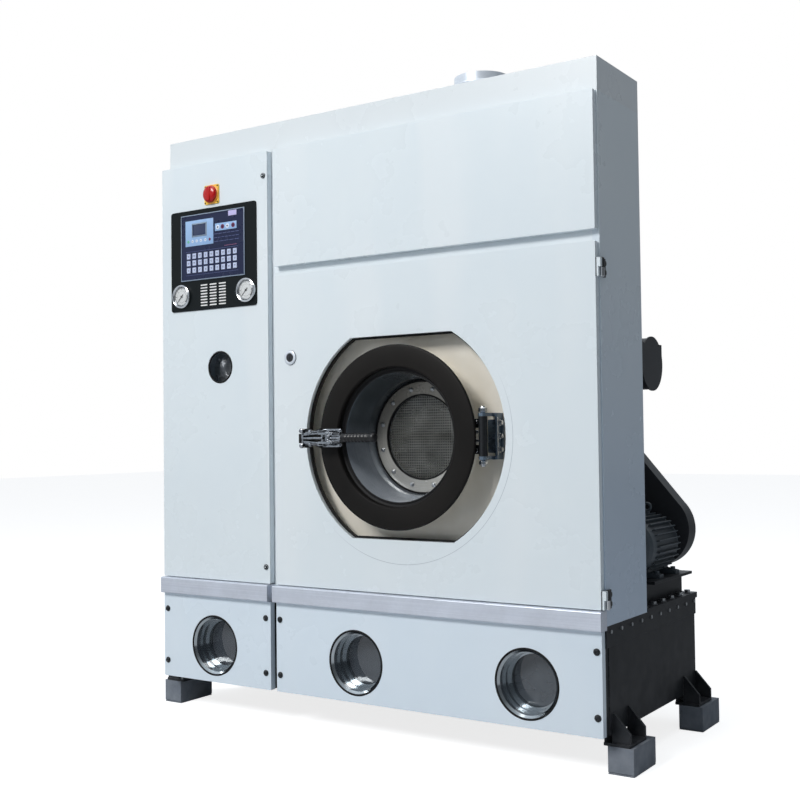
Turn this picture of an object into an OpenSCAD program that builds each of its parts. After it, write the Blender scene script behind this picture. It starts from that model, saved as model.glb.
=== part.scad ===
// Front-loading dry cleaning machine: solvent tank base on four pads, clad cabinet,
// control column at the left, drum with a bull's-eye loading door, belt drive at the rear.
// X runs along the front, Y to the rear, Z up; the floor is z = 0.

/* [Base] */
// Width of the solvent tank base
base_w = 1512; // [1480:1:1518]
// Depth of the solvent tank base
base_d = 654; // [630:1:680]
// Height of the tank's underside above the floor
base_z = 100; // [90:1:115]
// Height of the tank's top flange above the floor
base_top = 375; // [360:1:390]
// Wall of the tank
tank_wall = 6; // [4:0.5:10]
// Thickness of the tank's top flange
flange_t = 8; // [6:1:12]
// How far the flange stands out beyond the rear wall
flange_rear = 15; // [8:1:22]
// Distance between the bolts of the tank's top flange
bolt_pitch = 68; // [60:1:90]
// Across-flats size of the tank bolts
bolt_af = 16; // [12:1:18]

/* [Feet] */
// Height of a foot pad
pad_h = 70; // [55:1:72]
// Width of a foot pad
pad_w = 70; // [50:1:90]
// Length of a foot pad from front to rear
pad_l = 145; // [135:1:180]
// How far a pad stands out beyond the tank's side
pad_out = 57; // [44:1:74]
// Front edge of the front pads
pad_front_y = 34; // [20:1:60]
// Distance from the tank's rear wall to the front edge of the rear pads
pad_rear_in = 109; // [104:1:140]
// Height of a welded gusset on the tank's side
gusset_h = 82; // [60:1:100]
// Thickness of a gusset
gusset_t = 8; // [5:0.5:12]
// Distance between the two gussets of a foot
gusset_gap = 96; // [70:1:96]

/* [Cabinet] */
// How far the cabinet stands out beyond the tank at each side
cabinet_over = 4; // [2:0.5:8]
// Depth of the cabinet
cabinet_d = 271; // [262:1:278]
// Height of the cabinet's top above the floor
cabinet_top = 1820; // [1800:1:1900]
// Height of the hood along the top
hood_h = 88; // [75:1:110]
// Thickness of the sheet covers
sheet = 2; // [1:0.25:3]
// Depth of the folded covers on the front
cover_t = 20; // [18:1:24]
// How far the body behind the covers is set in at the left
left_inset = 17; // [14:1:22]
// Width of the left control cover
left_cover_w = 444; // [430:1:450]
// Width of the groove between the left and the right covers
groove_w = 23; // [18:1:30]
// Distance from the right covers to the cabinet's right side
right_inset = 4; // [3:0.5:6]
// Width of the frame's square tubes
tube = 40; // [36:1:42]
// Clearance round every cover
cover_gap = 2; // [1:0.5:4]

/* [Upper cover and service door] */
// Height of the upper right cover's lower edge
upper_cover_z = 1375; // [1350:1:1400]
// Gap between the upper right cover and the service door
shadow_gap = 30; // [20:1:40]
// Radius of the round cut-out in the service door
cutout_r = 333; // [315:1:338]
// Half height between the flats of the cut-out
cutout_flat = 287; // [275:1:300]
// Depth of the folded rim round the cut-out
cutout_rim = 24; // [21:1:30]
// Height of the service door's lock
lock_z = 1096; // [1050:1:1140]
// Distance from the service door's left edge to its lock
lock_in = 63; // [55:1:66]
// Radius of the lock's bezel
lock_r = 22; // [16:1:24]
// Height of a hinge leaf on the service door
leaf_h = 47; // [40:1:60]
// Height of the upper hinge's centre
hinge_hi_z = 1278; // [1200:1:1310]
// Height of the lower hinge's centre
hinge_lo_z = 442; // [442:1:520]
// Radius of the service hinge's knuckle
knuckle_r = 5; // [4:0.25:6]

/* [Lower panels, rail and sight glasses] */
// Height of the trim rail
rail_h = 50; // [40:1:52]
// How far the trim rail stands out from the body
rail_out = 38; // [30:1:45]
// Sheet thickness of the trim rail
rail_sheet = 3; // [2:0.5:5]
// How far the rail reaches under the base's top
rail_drop = 9; // [8:1:12]
// Height of the sight glasses' centres
sight_z = 213; // [205:1:225]
// Radius of a sight glass hole in a lower panel
sight_hole_r = 91; // [86:0.5:95]
// Distance of the outer sight glasses from the cabinet's sides
sight_in = 216; // [208:1:224]
// Distance of the middle sight glass from the cabinet's middle
sight_mid = -2; // [-8:1:8]
// Depth of a sight glass port from the panel's face
sight_depth = 76; // [70:1:90]
// Step between the rings inside a port
sight_step = 7; // [5:0.5:8]
// Thickness of a sight glass
sight_glass_t = 6; // [4:0.5:8]
// Radius of a lower panel screw head
screw_r = 9; // [7:0.5:11]
// Distance of these screws from the panels' upper and lower edges
screw_in = 50; // [44:1:60]

/* [Drum housing] */
// Distance of the drum's axis from the cabinet's middle
drum_x = 161; // [150:1:170]
// Height of the drum's axis
drum_z = 855; // [845:1:870]
// Distance from the drum to the outside of its housing
drum_gap = 30; // [26:1:32]
// Wall of the drum housing
tub_wall = 5; // [4:0.5:8]
// Rear face of the drum housing
tub_rear_y = 560; // [550:1:570]
// Inner radius of the loading neck
neck_r = 204; // [202:0.5:208]
// Front face of the loading neck's flange
neck_y = -11; // [-12:0.5:-10]
// Radius of the drum
drum_r = 388; // [370:1:392]
// Wall of the drum
drum_wall = 3; // [2:0.5:4]
// Front face of the drum
drum_front_y = 72; // [68:1:80]
// Depth of the drum
drum_d = 440; // [400:1:455]
// Radius of the drum's mouth
drum_mouth_r = 234; // [220:1:240]
// Height of a lifter inside the drum
lifter_h = 62; // [40:1:75]
// Number of lifters
lifters = 3; // [2:1:4]
// Number of pressed holes round the drum
drum_holes = 12; // [8:1:20]
// Rows of pressed holes along the drum
drum_rows = 3; // [2:1:4]
// Radius of a pressed hole
drum_hole_r = 9; // [5:0.5:10]

/* [Loading door] */
// Outer radius of the loading door's ring
ring_r = 257; // [252:1:262]
// Inner radius of the ring
ring_in_r = 194; // [192:1:200]
// Front face of the ring
ring_y = -54; // [-56:1:-48]
// Thickness of the ring
ring_t = 37; // [34:1:39]
// Rounding of the ring's outer edge
ring_round = 8; // [3:1:12]
// Radius of the stainless bowl behind the ring
bowl_r = 180; // [172:1:184]
// Radius of the bowl's inner end
bowl_end_r = 164; // [158:1:168]
// Front face of the window's clamp ring
clamp_y = 94; // [85:1:98]
// Thickness of the clamp ring
clamp_t = 6; // [4:1:10]
// Inner radius of the clamp ring
clamp_in_r = 122; // [110:1:130]
// Thickness of the door glass
glass_t = 8; // [6:1:12]
// Number of bolts in the clamp ring
clamp_bolts = 12; // [8:1:16]
// Thickness of the door gasket
gasket_t = 5.7; // [5:0.1:5.8]
// Distance of the door's hinge pin from the drum's axis
door_hinge_x = 272; // [270:1:278]
// Depth of the door's hinge pin
door_hinge_y = -33; // [-36:1:-28]
// Length of the hinge arm
hinge_arm_h = 106; // [100:1:130]
// Radius of the hinge pin
hinge_pin_r = 6.5; // [6:0.5:9]
// Radial running clearance on the hinge pins
pin_gap = 0.08; // [0.05:0.01:0.1]

/* [Latch] */
// Depth of the latch's links in front of the body
latch_y = -92; // [-96:1:-88]
// Distance from the drum's axis to the keeper's lugs
keeper_in = 296; // [292:1:300]
// Distance from the drum's axis to the lever's pivot
lever_in = 196; // [188:1:200]
// Length of the rubber grip
grip_l = 118; // [90:1:130]
// Radius of the rubber grip
grip_r = 12; // [10:0.5:14]
// Distance between the two claw bars
claw_gap = 43; // [38:1:46]
// Radius of a claw bar
claw_r = 5; // [4:0.5:6]

/* [Controls] */
// Distance of the control plate from the cabinet's left side
plate_in = 42; // [34:1:50]
// Width of the control plate
plate_w = 360; // [340:1:370]
// Height of the control plate
plate_h = 321; // [300:1:340]
// Height of the control plate's lower edge
plate_z = 1264; // [1240:1:1290]
// Thickness of the control plate
plate_t = 3; // [2:0.5:5]
// Width of the keypad
keypad_w = 266; // [240:1:280]
// Height of the keypad
keypad_h = 208; // [190:1:215]
// Thickness of the keypad
keypad_t = 2; // [1:0.5:4]
// Radius of a pressure gauge's flange
gauge_r = 38; // [34:0.5:42]
// How far a gauge stands out from the control plate
gauge_out = 9; // [8:0.5:14]
// Depth of a gauge's case behind the cover
gauge_back = 38; // [25:1:50]
// Length of a vent slot
slot_l = 31; // [24:1:33]
// Height of a vent slot
slot_h = 4.6; // [3:0.2:6]
// Pitch of the vent slots
slot_pitch = 9.2; // [8:0.1:10]
// Rows of vent slots
slot_rows = 8; // [5:1:8]
// Columns of vent slots
slot_cols = 3; // [2:1:3]
// Side of the main switch's yellow plate
switch_side = 60; // [58:1:66]
// Height of the main switch's centre
switch_z = 1626; // [1618:1:1640]
// Distance of the main switch from the cabinet's left side
switch_in = 219; // [150:1:260]
// Radius of the main switch's knob
knob_r = 26; // [20:0.5:26]
// How far the knob stands out from its plate
knob_out = 24; // [20:1:34]
// Radius of the still's viewing hole
view_r = 48; // [40:1:52]
// Distance of the viewing hole from the cabinet's left side
view_in = 248; // [235:1:255]
// Height of the viewing hole
view_z = 1080; // [1040:1:1120]

/* [Still and air path] */
// Radius of the still
still_r = 178; // [160:1:180]
// Depth of the still's axis behind the cabinet's front
still_y = 300; // [290:1:320]
// Height of the still's lower weld
still_z = 640; // [620:1:700]
// Height of the still's straight wall
still_h = 620; // [560:1:660]
// Radius of the exhaust collar
collar_r = 78; // [70:1:80]
// Distance of the exhaust collar from the drum's axis
collar_off = 189; // [170:1:200]
// Depth of the exhaust collar's axis
collar_y = 135; // [125:1:150]
// Height of the exhaust collar above the hood
collar_h = 48; // [40:1:60]
// Width of the air duct on the drum housing
duct_w = 520; // [420:1:560]
// Radius of the recovery fan's scroll
fan_r = 72; // [68:1:80]
// Height of the recovery fan's axis
fan_z = 1052; // [1040:1:1080]
// Depth of the recovery fan's axis
fan_y = 371; // [366:1:380]
// Width of the recovery fan's scroll
fan_w = 118; // [100:1:124]

/* [Drive] */
// Distance of the motor's axis from the cabinet's middle
motor_x = 662; // [650:1:664]
// Height of the motor's axis
motor_z = 537; // [533:1:541]
// Outer radius over the motor's fins
motor_r = 86; // [84:1:88]
// Height of a motor fin
fin_h = 11; // [8:0.5:14]
// Number of fins on the motor
fins = 30; // [20:2:36]
// Front face of the motor's fan cowl
motor_y = 352; // [345:1:360]
// Length of the motor's fan cowl
cowl_l = 54; // [45:1:60]
// Length of the motor's finned body
motor_l = 176; // [160:1:180]
// Distance from the motor's axis to the platform's left edge
platform_in = 102; // [96:1:110]
// Height of the motor's platform top above the base
platform_h = 68; // [60:1:74]
// Radius of the motor's shaft
motor_shaft_r = 14; // [10:1:16]
// Radius of the motor pulley
motor_pulley_r = 62; // [55:1:66]
// Radius of the drum pulley
drum_pulley_r = 266; // [250:1:270]
// Middle plane of the pulleys
pulley_y = 640; // [638:1:642]
// Width of the pulleys
pulley_w = 34; // [28:1:36]
// Thickness of the belt
belt_t = 8; // [6:0.5:10]
// Radius of the drum's shaft
shaft_r = 30; // [24:1:36]
// Wall of the bearing housing
bearing_wall = 24; // [20:1:28]
// Reach of the bearing housing's flange beyond the shaft
bearing_reach = 62; // [58:1:70]
// Radius of the guard round the motor pulley
guard_r = 112; // [104:1:116]
// Radius of the guard round the drum pulley
guard_big_r = 300; // [292:1:306]
// Sheet thickness of the guard
guard_sheet = 2.5; // [2:0.5:4]

/* [Hidden] */
$fn = 64;

seat = 0.3;                                  // gap between curved or hanging pieces and their seats
cabinet_w = base_w + 2 * cabinet_over;
half_w = cabinet_w / 2;
pad_rear_y = base_d - pad_rear_in;
tub_r = drum_r + drum_gap;
left_x = -half_w;                            // outer edge of the covers at the left
body_x = left_x + left_inset;                // left face of the body behind them
groove_x = left_x + left_cover_w;
right_x = groove_x + groove_w;               // left edge of the right covers
right_end = half_w - right_inset;
hood_z = cabinet_top - hood_h;
door_top_z = upper_cover_z - shadow_gap;
rail_z = base_top - rail_drop;
cover_z = rail_z + rail_h + cover_gap;
frame_y = sheet;                             // front face of the frame's tubes
plate_y = frame_y + tube;                    // front face of the drum housing's plate
tub_plate_t = 6;
tub_y = plate_y + tub_plate_t;
sight_at = [left_x + sight_in, sight_mid, half_w - sight_in];
bowl_far_y = clamp_y + clamp_t + glass_t;    // seat of the glass
panel_screw_x = [left_x + 16, groove_x - 19, right_x + 14, right_end - 14];
rim_h = 54;                                  // height of the rim's upright leg
leaf_t = 4;
hinge_axis_x = half_w + leaf_t + 2;          // service door's hinge axis
hinge_axis_y = -2;
cover_axis_x = left_x + left_inset / 2;      // control cover's concealed hinge axis
cover_axis_y = 10;
cover_barrel_r = 4;
arm_x = drum_x + door_hinge_x;               // loading door's hinge axis
keeper_x = drum_x - keeper_in;
lever_x = drum_x - lever_in;
claw_x = lever_x - 22;                       // claw pivot
latch_depth = 12;                            // half depth of the latch's bars
knob_x = left_x + switch_in;
view_x = left_x + view_in;
plate_x = left_x + plate_in;
gauge_in = 48;
gauge_z = plate_z + gauge_in;
gauge_x = [plate_x + gauge_in, plate_x + plate_w - gauge_in + 8];
platform_z = base_top + flange_t + platform_h - 3;
fan_x = half_w - fan_w - 10;                 // left face of the fan's scroll
fan_duct_w = 76;                             // side of the square duct to the fan
fan_duct_y = 120;
guard_x = motor_x - 14;                      // middle of the guard's small end
guard_z = motor_z + 34;
guard_depth = 58;
guard_y = pulley_y - guard_depth / 2;
drum_rear_y = drum_front_y + drum_d;
shaft_end_y = pulley_y + pulley_w / 2;
front_reach = grip_r - latch_y;              // foremost point of the machine
rear_reach = pad_rear_y + pad_l;             // rearmost point
mid_y = (rear_reach - front_reach) / 2;

// ---------- helpers ----------

// Everything is drawn from the cabinet's front plane and moved so that the origin is the middle.
module machine() { translate([0, -mid_y, 0]) children(); }

// A flat shape drawn in x and z, as thick as t, with its front at y0
module upright(y0, t) {
  translate([0, y0 + t, 0]) rotate([90, 0, 0]) linear_extrude(t) children();
}

// A flat shape drawn in y and z, as thick as t, with its left face at x0
module sideways(x0, t) {
  translate([x0, 0, 0]) rotate([90, 0, 90]) linear_extrude(t) children();
}

// A turned piece about an axis along Y: the profile is drawn as [radius, y]
module turned(x, z) {
  translate([x, 0, z]) rotate([-90, 0, 0]) rotate_extrude($fn = 96) children();
}

// A round bar along Y
module bar_y(x, z, y0, y1, r) {
  translate([x, y0, z]) rotate([-90, 0, 0]) cylinder(r = r, h = y1 - y0);
}

// A round bar along X
module bar_x(y, z, x0, x1, r) {
  translate([x0, y, z]) rotate([0, 90, 0]) cylinder(r = r, h = x1 - x0);
}

module rounded(w, h, r) {
  square([w - 2 * r, h], center = true);
  square([w, h - 2 * r], center = true);
  for (i = [-1, 1], j = [-1, 1])
    translate([i * (w / 2 - r), j * (h / 2 - r)]) circle(r);
}

module rounded_at(x0, x1, z0, z1, r) {
  translate([(x0 + x1) / 2, (z0 + z1) / 2]) rounded(x1 - x0, z1 - z0, r);
}

// A folded cover: a face with its four edges turned back
module folded_cover(x0, x1, z0, z1) {
  edge_round = 3;
  difference() {
    upright(-cover_t, cover_t - seat) rounded_at(x0, x1, z0, z1, edge_round);
    upright(-cover_t + sheet, cover_t)
      rounded_at(x0 + sheet, x1 - sheet, z0 + sheet, z1 - sheet, edge_round);
  }
}

// ---------- base ----------

module foot_bracket(side, y0, first) {
  out = base_w / 2 + pad_out - 10;
  wall = base_w / 2;
  for (y = [y0 + first, y0 + first + gusset_gap])
    upright(y, gusset_t)
      polygon([[side * (wall - 2), pad_h], [side * out, pad_h], [side * out, pad_h + 34],
               [side * (wall + 4), pad_h + gusset_h], [side * (wall - 2), pad_h + gusset_h]]);
  translate([side > 0 ? wall - 24 : -out, y0, pad_h])
    cube([out - wall + 24, first + gusset_gap + gusset_t, gusset_t]);
  // Upright carrier that ties the foot plate to the tank's underside
  translate([side > 0 ? wall - 24 : -wall + 18, y0 + first, pad_h])
    cube([6, gusset_gap + gusset_t, base_z - pad_h + 3]);
}

module base_tank() color("#26282b") machine() {
  inner = base_w / 2 - tank_wall;
  front = frame_y + tube / 2;
  difference() {
    union() {
      translate([-base_w / 2, front, base_z]) cube([base_w, base_d - front, base_top - flange_t - base_z]);
      translate([-half_w, 0, base_top - flange_t])
        cube([cabinet_w, base_d + flange_rear, flange_t]);
      // Upright leg of the rim along both sides
      for (x = [-half_w, base_w / 2 - 1])
        translate([x, 0, base_top - rim_h]) cube([half_w - base_w / 2 + 1, base_d, rim_h - 1]);
      // Bars that the lower panels are screwed to
      for (x = panel_screw_x)
        translate([x - 12, 0, base_z]) cube([24, front + 1, base_top - flange_t - base_z]);
      // Closing plate behind the cabinet
      translate([-half_w, cabinet_d + 6, base_top])
        cube([cabinet_w, base_d + flange_rear - cabinet_d - 6, flange_t]);
    }
    // Three solvent compartments
    for (x = [[-inner, -250], [-244, 250], [256, inner]])
      translate([x[0], front + tank_wall, base_z + tank_wall])
        cube([x[1] - x[0], base_d - front - 2 * tank_wall, base_top - flange_t - base_z - tank_wall]);
    for (x = sight_at)
      bar_y(x, sight_z, front - 1, front + tank_wall + 1, sight_port_r());
  }
  // Triangular lugs under the flange's rear corners
  for (s = [-1, 1])
    translate([s * (base_w / 2 - 1), base_d - 1, base_top - flange_t]) mirror([s > 0 ? 0 : 1, 0, 0])
      rotate([0, 90, 180]) linear_extrude(46)
        polygon([[0, 0], [48, 0], [0, -flange_rear]]);
  for (s = [-1, 1]) {
    foot_bracket(s, pad_front_y, 4);
    foot_bracket(s, pad_rear_y, 4);
  }
}

function sight_port_r() = sight_hole_r - sight_step + seat;

// Hexagon head with its washer, standing on a face at z
module hex_head(x, y, z) {
  translate([x, y, z]) {
    cylinder(d = bolt_af * 1.5, h = 2);
    cylinder(d = bolt_af * 1.15, h = 9, $fn = 6);
  }
}

module base_bolts() color("#8f9296") machine() {
  top = base_top + flange_t;
  edge = half_w - 18;
  count = floor((base_d - cabinet_d - 30) / bolt_pitch);
  for (s = [-1, 1], i = [0 : count])
    hex_head(s * edge, cabinet_d + 24 + i * bolt_pitch, top);
  // Small screws in the upright leg of the rim
  side_count = floor((base_d - 40) / bolt_pitch);
  for (i = [0 : side_count]) {
    bar_x(27 + i * bolt_pitch, base_top - 16, half_w, half_w + 3, 5);
    bar_x(27 + i * bolt_pitch, base_top - 16, -half_w - 3, -half_w, 5);
  }
  span = 2 * edge;
  rows = floor(span / (2 * bolt_pitch));
  for (i = [1 : rows - 1])
    hex_head(-edge + i * span / rows, base_d + flange_rear - 16, top);
}

module foot_pad(side, y0) {
  x0 = side > 0 ? base_w / 2 + pad_out - pad_w : -base_w / 2 - pad_out;
  difference() {
    translate([x0, y0, 0]) cube([pad_w, pad_l, pad_h]);
    // Broken lower edges
    for (y = [y0, y0 + pad_l])
      translate([x0 - 1, y, 0]) rotate([45, 0, 0]) cube([pad_w + 2, 4, 4], center = false);
  }
}

module foot_pad_front_left() color("#55585c") machine() foot_pad(-1, pad_front_y);
module foot_pad_front_right() color("#55585c") machine() foot_pad(1, pad_front_y);
module foot_pad_rear_left() color("#55585c") machine() foot_pad(-1, pad_rear_y);
module foot_pad_rear_right() color("#55585c") machine() foot_pad(1, pad_rear_y);

// ---------- lower panels and sight glasses ----------

module sight_hole(x) bar_y(x, sight_z, -cover_t - 1, 1, sight_hole_r);

module lower_panel_left() color("#dfe8ee") machine() difference() {
  folded_cover(left_x, groove_x, base_z, rail_z - cover_gap);
  sight_hole(sight_at[0]);
}

module lower_panel_right() color("#dfe8ee") machine() difference() {
  folded_cover(right_x, right_end, base_z, rail_z - cover_gap);
  sight_hole(sight_at[1]);
  sight_hole(sight_at[2]);
}

module panel_screw(x, z) {
  bar_y(x, z, -cover_t - 2.5, -cover_t, screw_r);
  bar_y(x, z, -cover_t - 6, -cover_t - 2.5, screw_r * 0.72);
}

module lower_panel_screws() color("#8a9096") machine() {
  low = base_z + screw_in;
  high = rail_z - cover_gap - screw_in;
  for (z = [low, high], x = panel_screw_x) panel_screw(x, z);
}

// Stepped stainless port: collar in the panel's hole, flange on the tank, glass at the far end
module sight_flange(x) {
  y0 = -cover_t + 1;
  tank_front = frame_y + tube / 2;
  r0 = sight_hole_r - 1;
  r1 = sight_port_r() - seat;
  far = y0 + sight_depth;
  turned(x, sight_z) polygon([
    [r0 - 2, y0], [r0, y0 + 1], [r0, tank_front - 8], [r0 + 20, tank_front - 8],
    [r0 + 20, tank_front], [r1, tank_front], [r1, far],
    [r1 - 3 * sight_step, far], [r1 - 3 * sight_step, far - 6], [r1 - 2 * sight_step, far - 6],
    [r1 - 2 * sight_step, far - 26], [r1 - sight_step, far - 26],
    [r1 - sight_step, far - 48], [r1 - 2, far - 48], [r1 - 2, y0 + 6], [r0 - 4, y0 + 2]]);
}

module sight_flange_left() color("#a9adb1") machine() sight_flange(sight_at[0]);
module sight_flange_middle() color("#a9adb1") machine() sight_flange(sight_at[1]);
module sight_flange_right() color("#a9adb1") machine() sight_flange(sight_at[2]);

module sight_glasses() color("#2b3336") machine() {
  far = -cover_t + 1 + sight_depth;
  for (x = sight_at)
    bar_y(x, sight_z, far - 6 - sight_glass_t, far - 6, sight_port_r() - seat - 2 * sight_step - seat);
}

// ---------- rail ----------

module rail(x0, x1) {
  z1 = rail_z + rail_h;
  sideways(x0, x1 - x0) difference() {
    union() {
      translate([-rail_out + 4, rail_z]) square([rail_out - 4, rail_h]);
      translate([-rail_out, rail_z + 4]) square([8, rail_h - 8]);
      for (z = [rail_z + 4, z1 - 4]) translate([-rail_out + 4, z]) circle(4);
    }
    translate([-rail_out + rail_sheet, rail_z + rail_sheet])
      square([rail_out, rail_h - 2 * rail_sheet]);
  }
  // Folded end caps
  for (x = [x0, x1 - rail_sheet])
    sideways(x, rail_sheet) translate([-rail_out + 2, rail_z + 2]) square([rail_out - 2, rail_h - 4]);
}

module rail_left() color("#c3c6cf") machine() rail(left_x + 2, groove_x + 2);
module rail_right() color("#c3c6cf") machine() rail(right_x - 2, half_w + 2);

// ---------- cabinet ----------

module post(x, y) translate([x, y, base_top]) cube([tube, tube, hood_z - base_top]);

module cabinet_frame() color("#cfd6dc") machine() {
  x_left = body_x + sheet;
  x_mid = groove_x + groove_w / 2 - tube / 2;
  x_right = half_w - sheet - tube;
  y_rear = cabinet_d - sheet - tube;
  for (x = [x_left, x_mid, x_right], y = [frame_y, y_rear]) post(x, y);
  for (z = [base_top, hood_z - tube], y = [frame_y, y_rear])
    translate([x_left, y, z]) cube([x_right + tube - x_left, tube, tube]);
  for (z = [base_top, hood_z - tube], x = [x_left, x_mid, x_right])
    translate([x, frame_y, z]) cube([tube, y_rear + tube - frame_y, tube]);
  // Crossbar seen in the gap over the service door
  translate([x_mid, frame_y, door_top_z - 12]) cube([x_right + tube - x_mid, tube, shadow_gap + 24]);
  // Strike that the service lock's tongue turns behind
  translate([x_mid + tube + seat, frame_y, lock_z - 16]) cube([lock_tab - seat, 3, 32]);
  // Fixed leaves of the control cover's concealed hinges, with their pins
  for (z = cover_hinge_z()) {
    translate([cover_axis_x, cover_axis_y - 1.5, z - 30]) cube([x_left - cover_axis_x, 3, 28]);
    translate([cover_axis_x, cover_axis_y, z - 30]) cylinder(r = cover_barrel_r, h = 28);
    translate([cover_axis_x, cover_axis_y, z - 30]) cylinder(r = 2, h = 58);
  }
}

lock_tab = 20;
function cover_hinge_z() = [cover_z + 160, hood_z - 160];

module side_panel_left() color("#dfe8ee") machine() {
  translate([body_x, 0, base_top]) difference() {
    cube([sheet, cabinet_d, hood_z - base_top]);
    // Slots for the control cover's hinge leaves
    for (z = cover_hinge_z())
      translate([-1, cover_axis_y - 2, z - base_top - 31]) cube([sheet + 2, 4, 30]);
  }
  translate([body_x, cabinet_d - sheet, base_top]) cube([tube / 2, sheet, hood_z - base_top]);
}

module side_panel_right() color("#dfe8ee") machine() {
  translate([half_w - sheet, 0, base_top]) cube([sheet, cabinet_d, hood_z - base_top]);
  for (y = [0, cabinet_d - sheet])
    translate([half_w - tube / 2, y, base_top]) cube([tube / 2, sheet, hood_z - base_top]);
}

module hood() color("#e4ecf1") machine() difference() {
  translate([body_x, 0, hood_z]) cube([half_w - body_x, cabinet_d, hood_h]);
  translate([body_x + sheet, sheet, hood_z - 1])
    cube([half_w - body_x - 2 * sheet, cabinet_d - 2 * sheet, hood_h - sheet + 1]);
  translate([drum_x + collar_off, collar_y, hood_z]) cylinder(r = collar_r + seat, h = hood_h + 2);
}

module upper_cover() color("#dfe8ee") machine()
  folded_cover(right_x, right_end, upper_cover_z, hood_z);

// Spun collar: flange on the hood, spigot with a rolled bead near its top
module exhaust_collar() color("#b9bdc2") machine()
  translate([drum_x + collar_off, collar_y, cabinet_top]) {
    wall = 1.5;
    bead = 4;
    bead_z = collar_h - 26;
    rotate_extrude($fn = 96) {
      difference() {
        union() {
          translate([collar_r - wall, -16]) square([wall, 16 + collar_h]);
          translate([collar_r - wall, 0]) square([22, 3]);
          translate([collar_r - 1, bead_z]) circle(bead, $fn = 32);
        }
        translate([0, -20]) square([collar_r - wall, collar_h + 40]);
      }
    }
  }

// ---------- drum housing and air path ----------

module cutout_shape(inset) intersection() {
  circle(cutout_r - inset, $fn = 128);
  square([2 * cutout_r, 2 * (cutout_flat - inset)], center = true);
}

module tub_front_plate() color("#b5ae9f") machine() difference() {
  union() {
    x0 = groove_x + groove_w / 2 - tube / 2 + 4;
    upright(plate_y, tub_plate_t)
      rounded_at(x0, half_w - sheet - 4, base_top + tube + 4, door_top_z, 12);
    // Loading neck with the flange that the door closes on
    turned(drum_x, drum_z) polygon([
      [neck_r, neck_y], [neck_r + 30, neck_y], [neck_r + 30, neck_y + 5], [neck_r + 12, neck_y + 5],
      [neck_r + 6, neck_y + 12], [neck_r + 6, plate_y - 8], [neck_r + 14, plate_y],
      [neck_r + 14, plate_y + 1], [neck_r, plate_y + 1]]);
  }
  bar_y(drum_x, drum_z, plate_y - 1, tub_y + 1, neck_r);
}

module tub() color("#9aa0a5") machine() {
  difference() {
    turned(drum_x, drum_z) polygon([
      [tub_r - tub_wall, tub_y], [tub_r, tub_y], [tub_r, tub_rear_y], [shaft_r + bearing_wall + 6, tub_rear_y],
      [shaft_r + bearing_wall + 6, tub_rear_y - tub_wall], [tub_r - tub_wall, tub_rear_y - tub_wall]]);
    // Air opening at the top, under the duct
    translate([drum_x - duct_w / 2 + 60, tub_y + 34, drum_z + tub_r / 2])
      cube([duct_w - 120, 110, tub_r]);
  }
  // Stiffening hoops
  for (share = [0.37, 0.585, 0.8], y = tub_y + share * (tub_rear_y - tub_y))
    turned(drum_x, drum_z) polygon([[tub_r - 1, y], [tub_r + 9, y], [tub_r + 9, y + 8], [tub_r - 1, y + 8]]);
  // Ribs on the rear wall
  for (a = [30 : 60 : 330])
    translate([drum_x, 0, drum_z]) rotate([0, a, 0])
      translate([shaft_r + 70, tub_rear_y - 1, -4]) cube([tub_r - shaft_r - 110, 14, 8]);
  // Saddles that stand on the tank
  for (x = [drum_x - tub_r * 0.55, drum_x + tub_r * 0.55])
    difference() {
      translate([x - tub_r * 0.07, tub_y + tub_r * 0.57, base_top + flange_t])
        cube([tub_r * 0.14, tub_r * 0.29, drum_z - tub_r / 2 - base_top]);
      bar_y(drum_x, drum_z, tub_y, tub_rear_y, tub_r - 1);
    }
}

module bearing_housing() color("#3a4148") machine() {
  y0 = tub_rear_y;
  neck = shaft_r + bearing_wall + 6 - seat;
  y1 = guard_y - 4;
  turned(drum_x, drum_z) polygon([
    [shaft_r + pin_gap, y0 - tub_wall], [neck, y0 - tub_wall], [neck, y0],
    [shaft_r + bearing_reach, y0], [shaft_r + bearing_reach, y0 + 10], [neck, y0 + 10],
    [shaft_r + bearing_wall, y0 + 18], [shaft_r + bearing_wall, y1], [shaft_r + pin_gap, y1]]);
  for (a = [0 : 60 : 300])
    translate([drum_x, 0, drum_z]) rotate([0, a, 0]) {
      upright_rib(shaft_r + bearing_wall - 1, shaft_r + bearing_reach - 4, y0 + 9, y1 - 4);
    }
}

module upright_rib(r0, r1, y0, y1)
  translate([0, 0, -4]) linear_extrude(8) polygon([[r0, y0], [r1, y0], [r0, y1]]);

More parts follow.
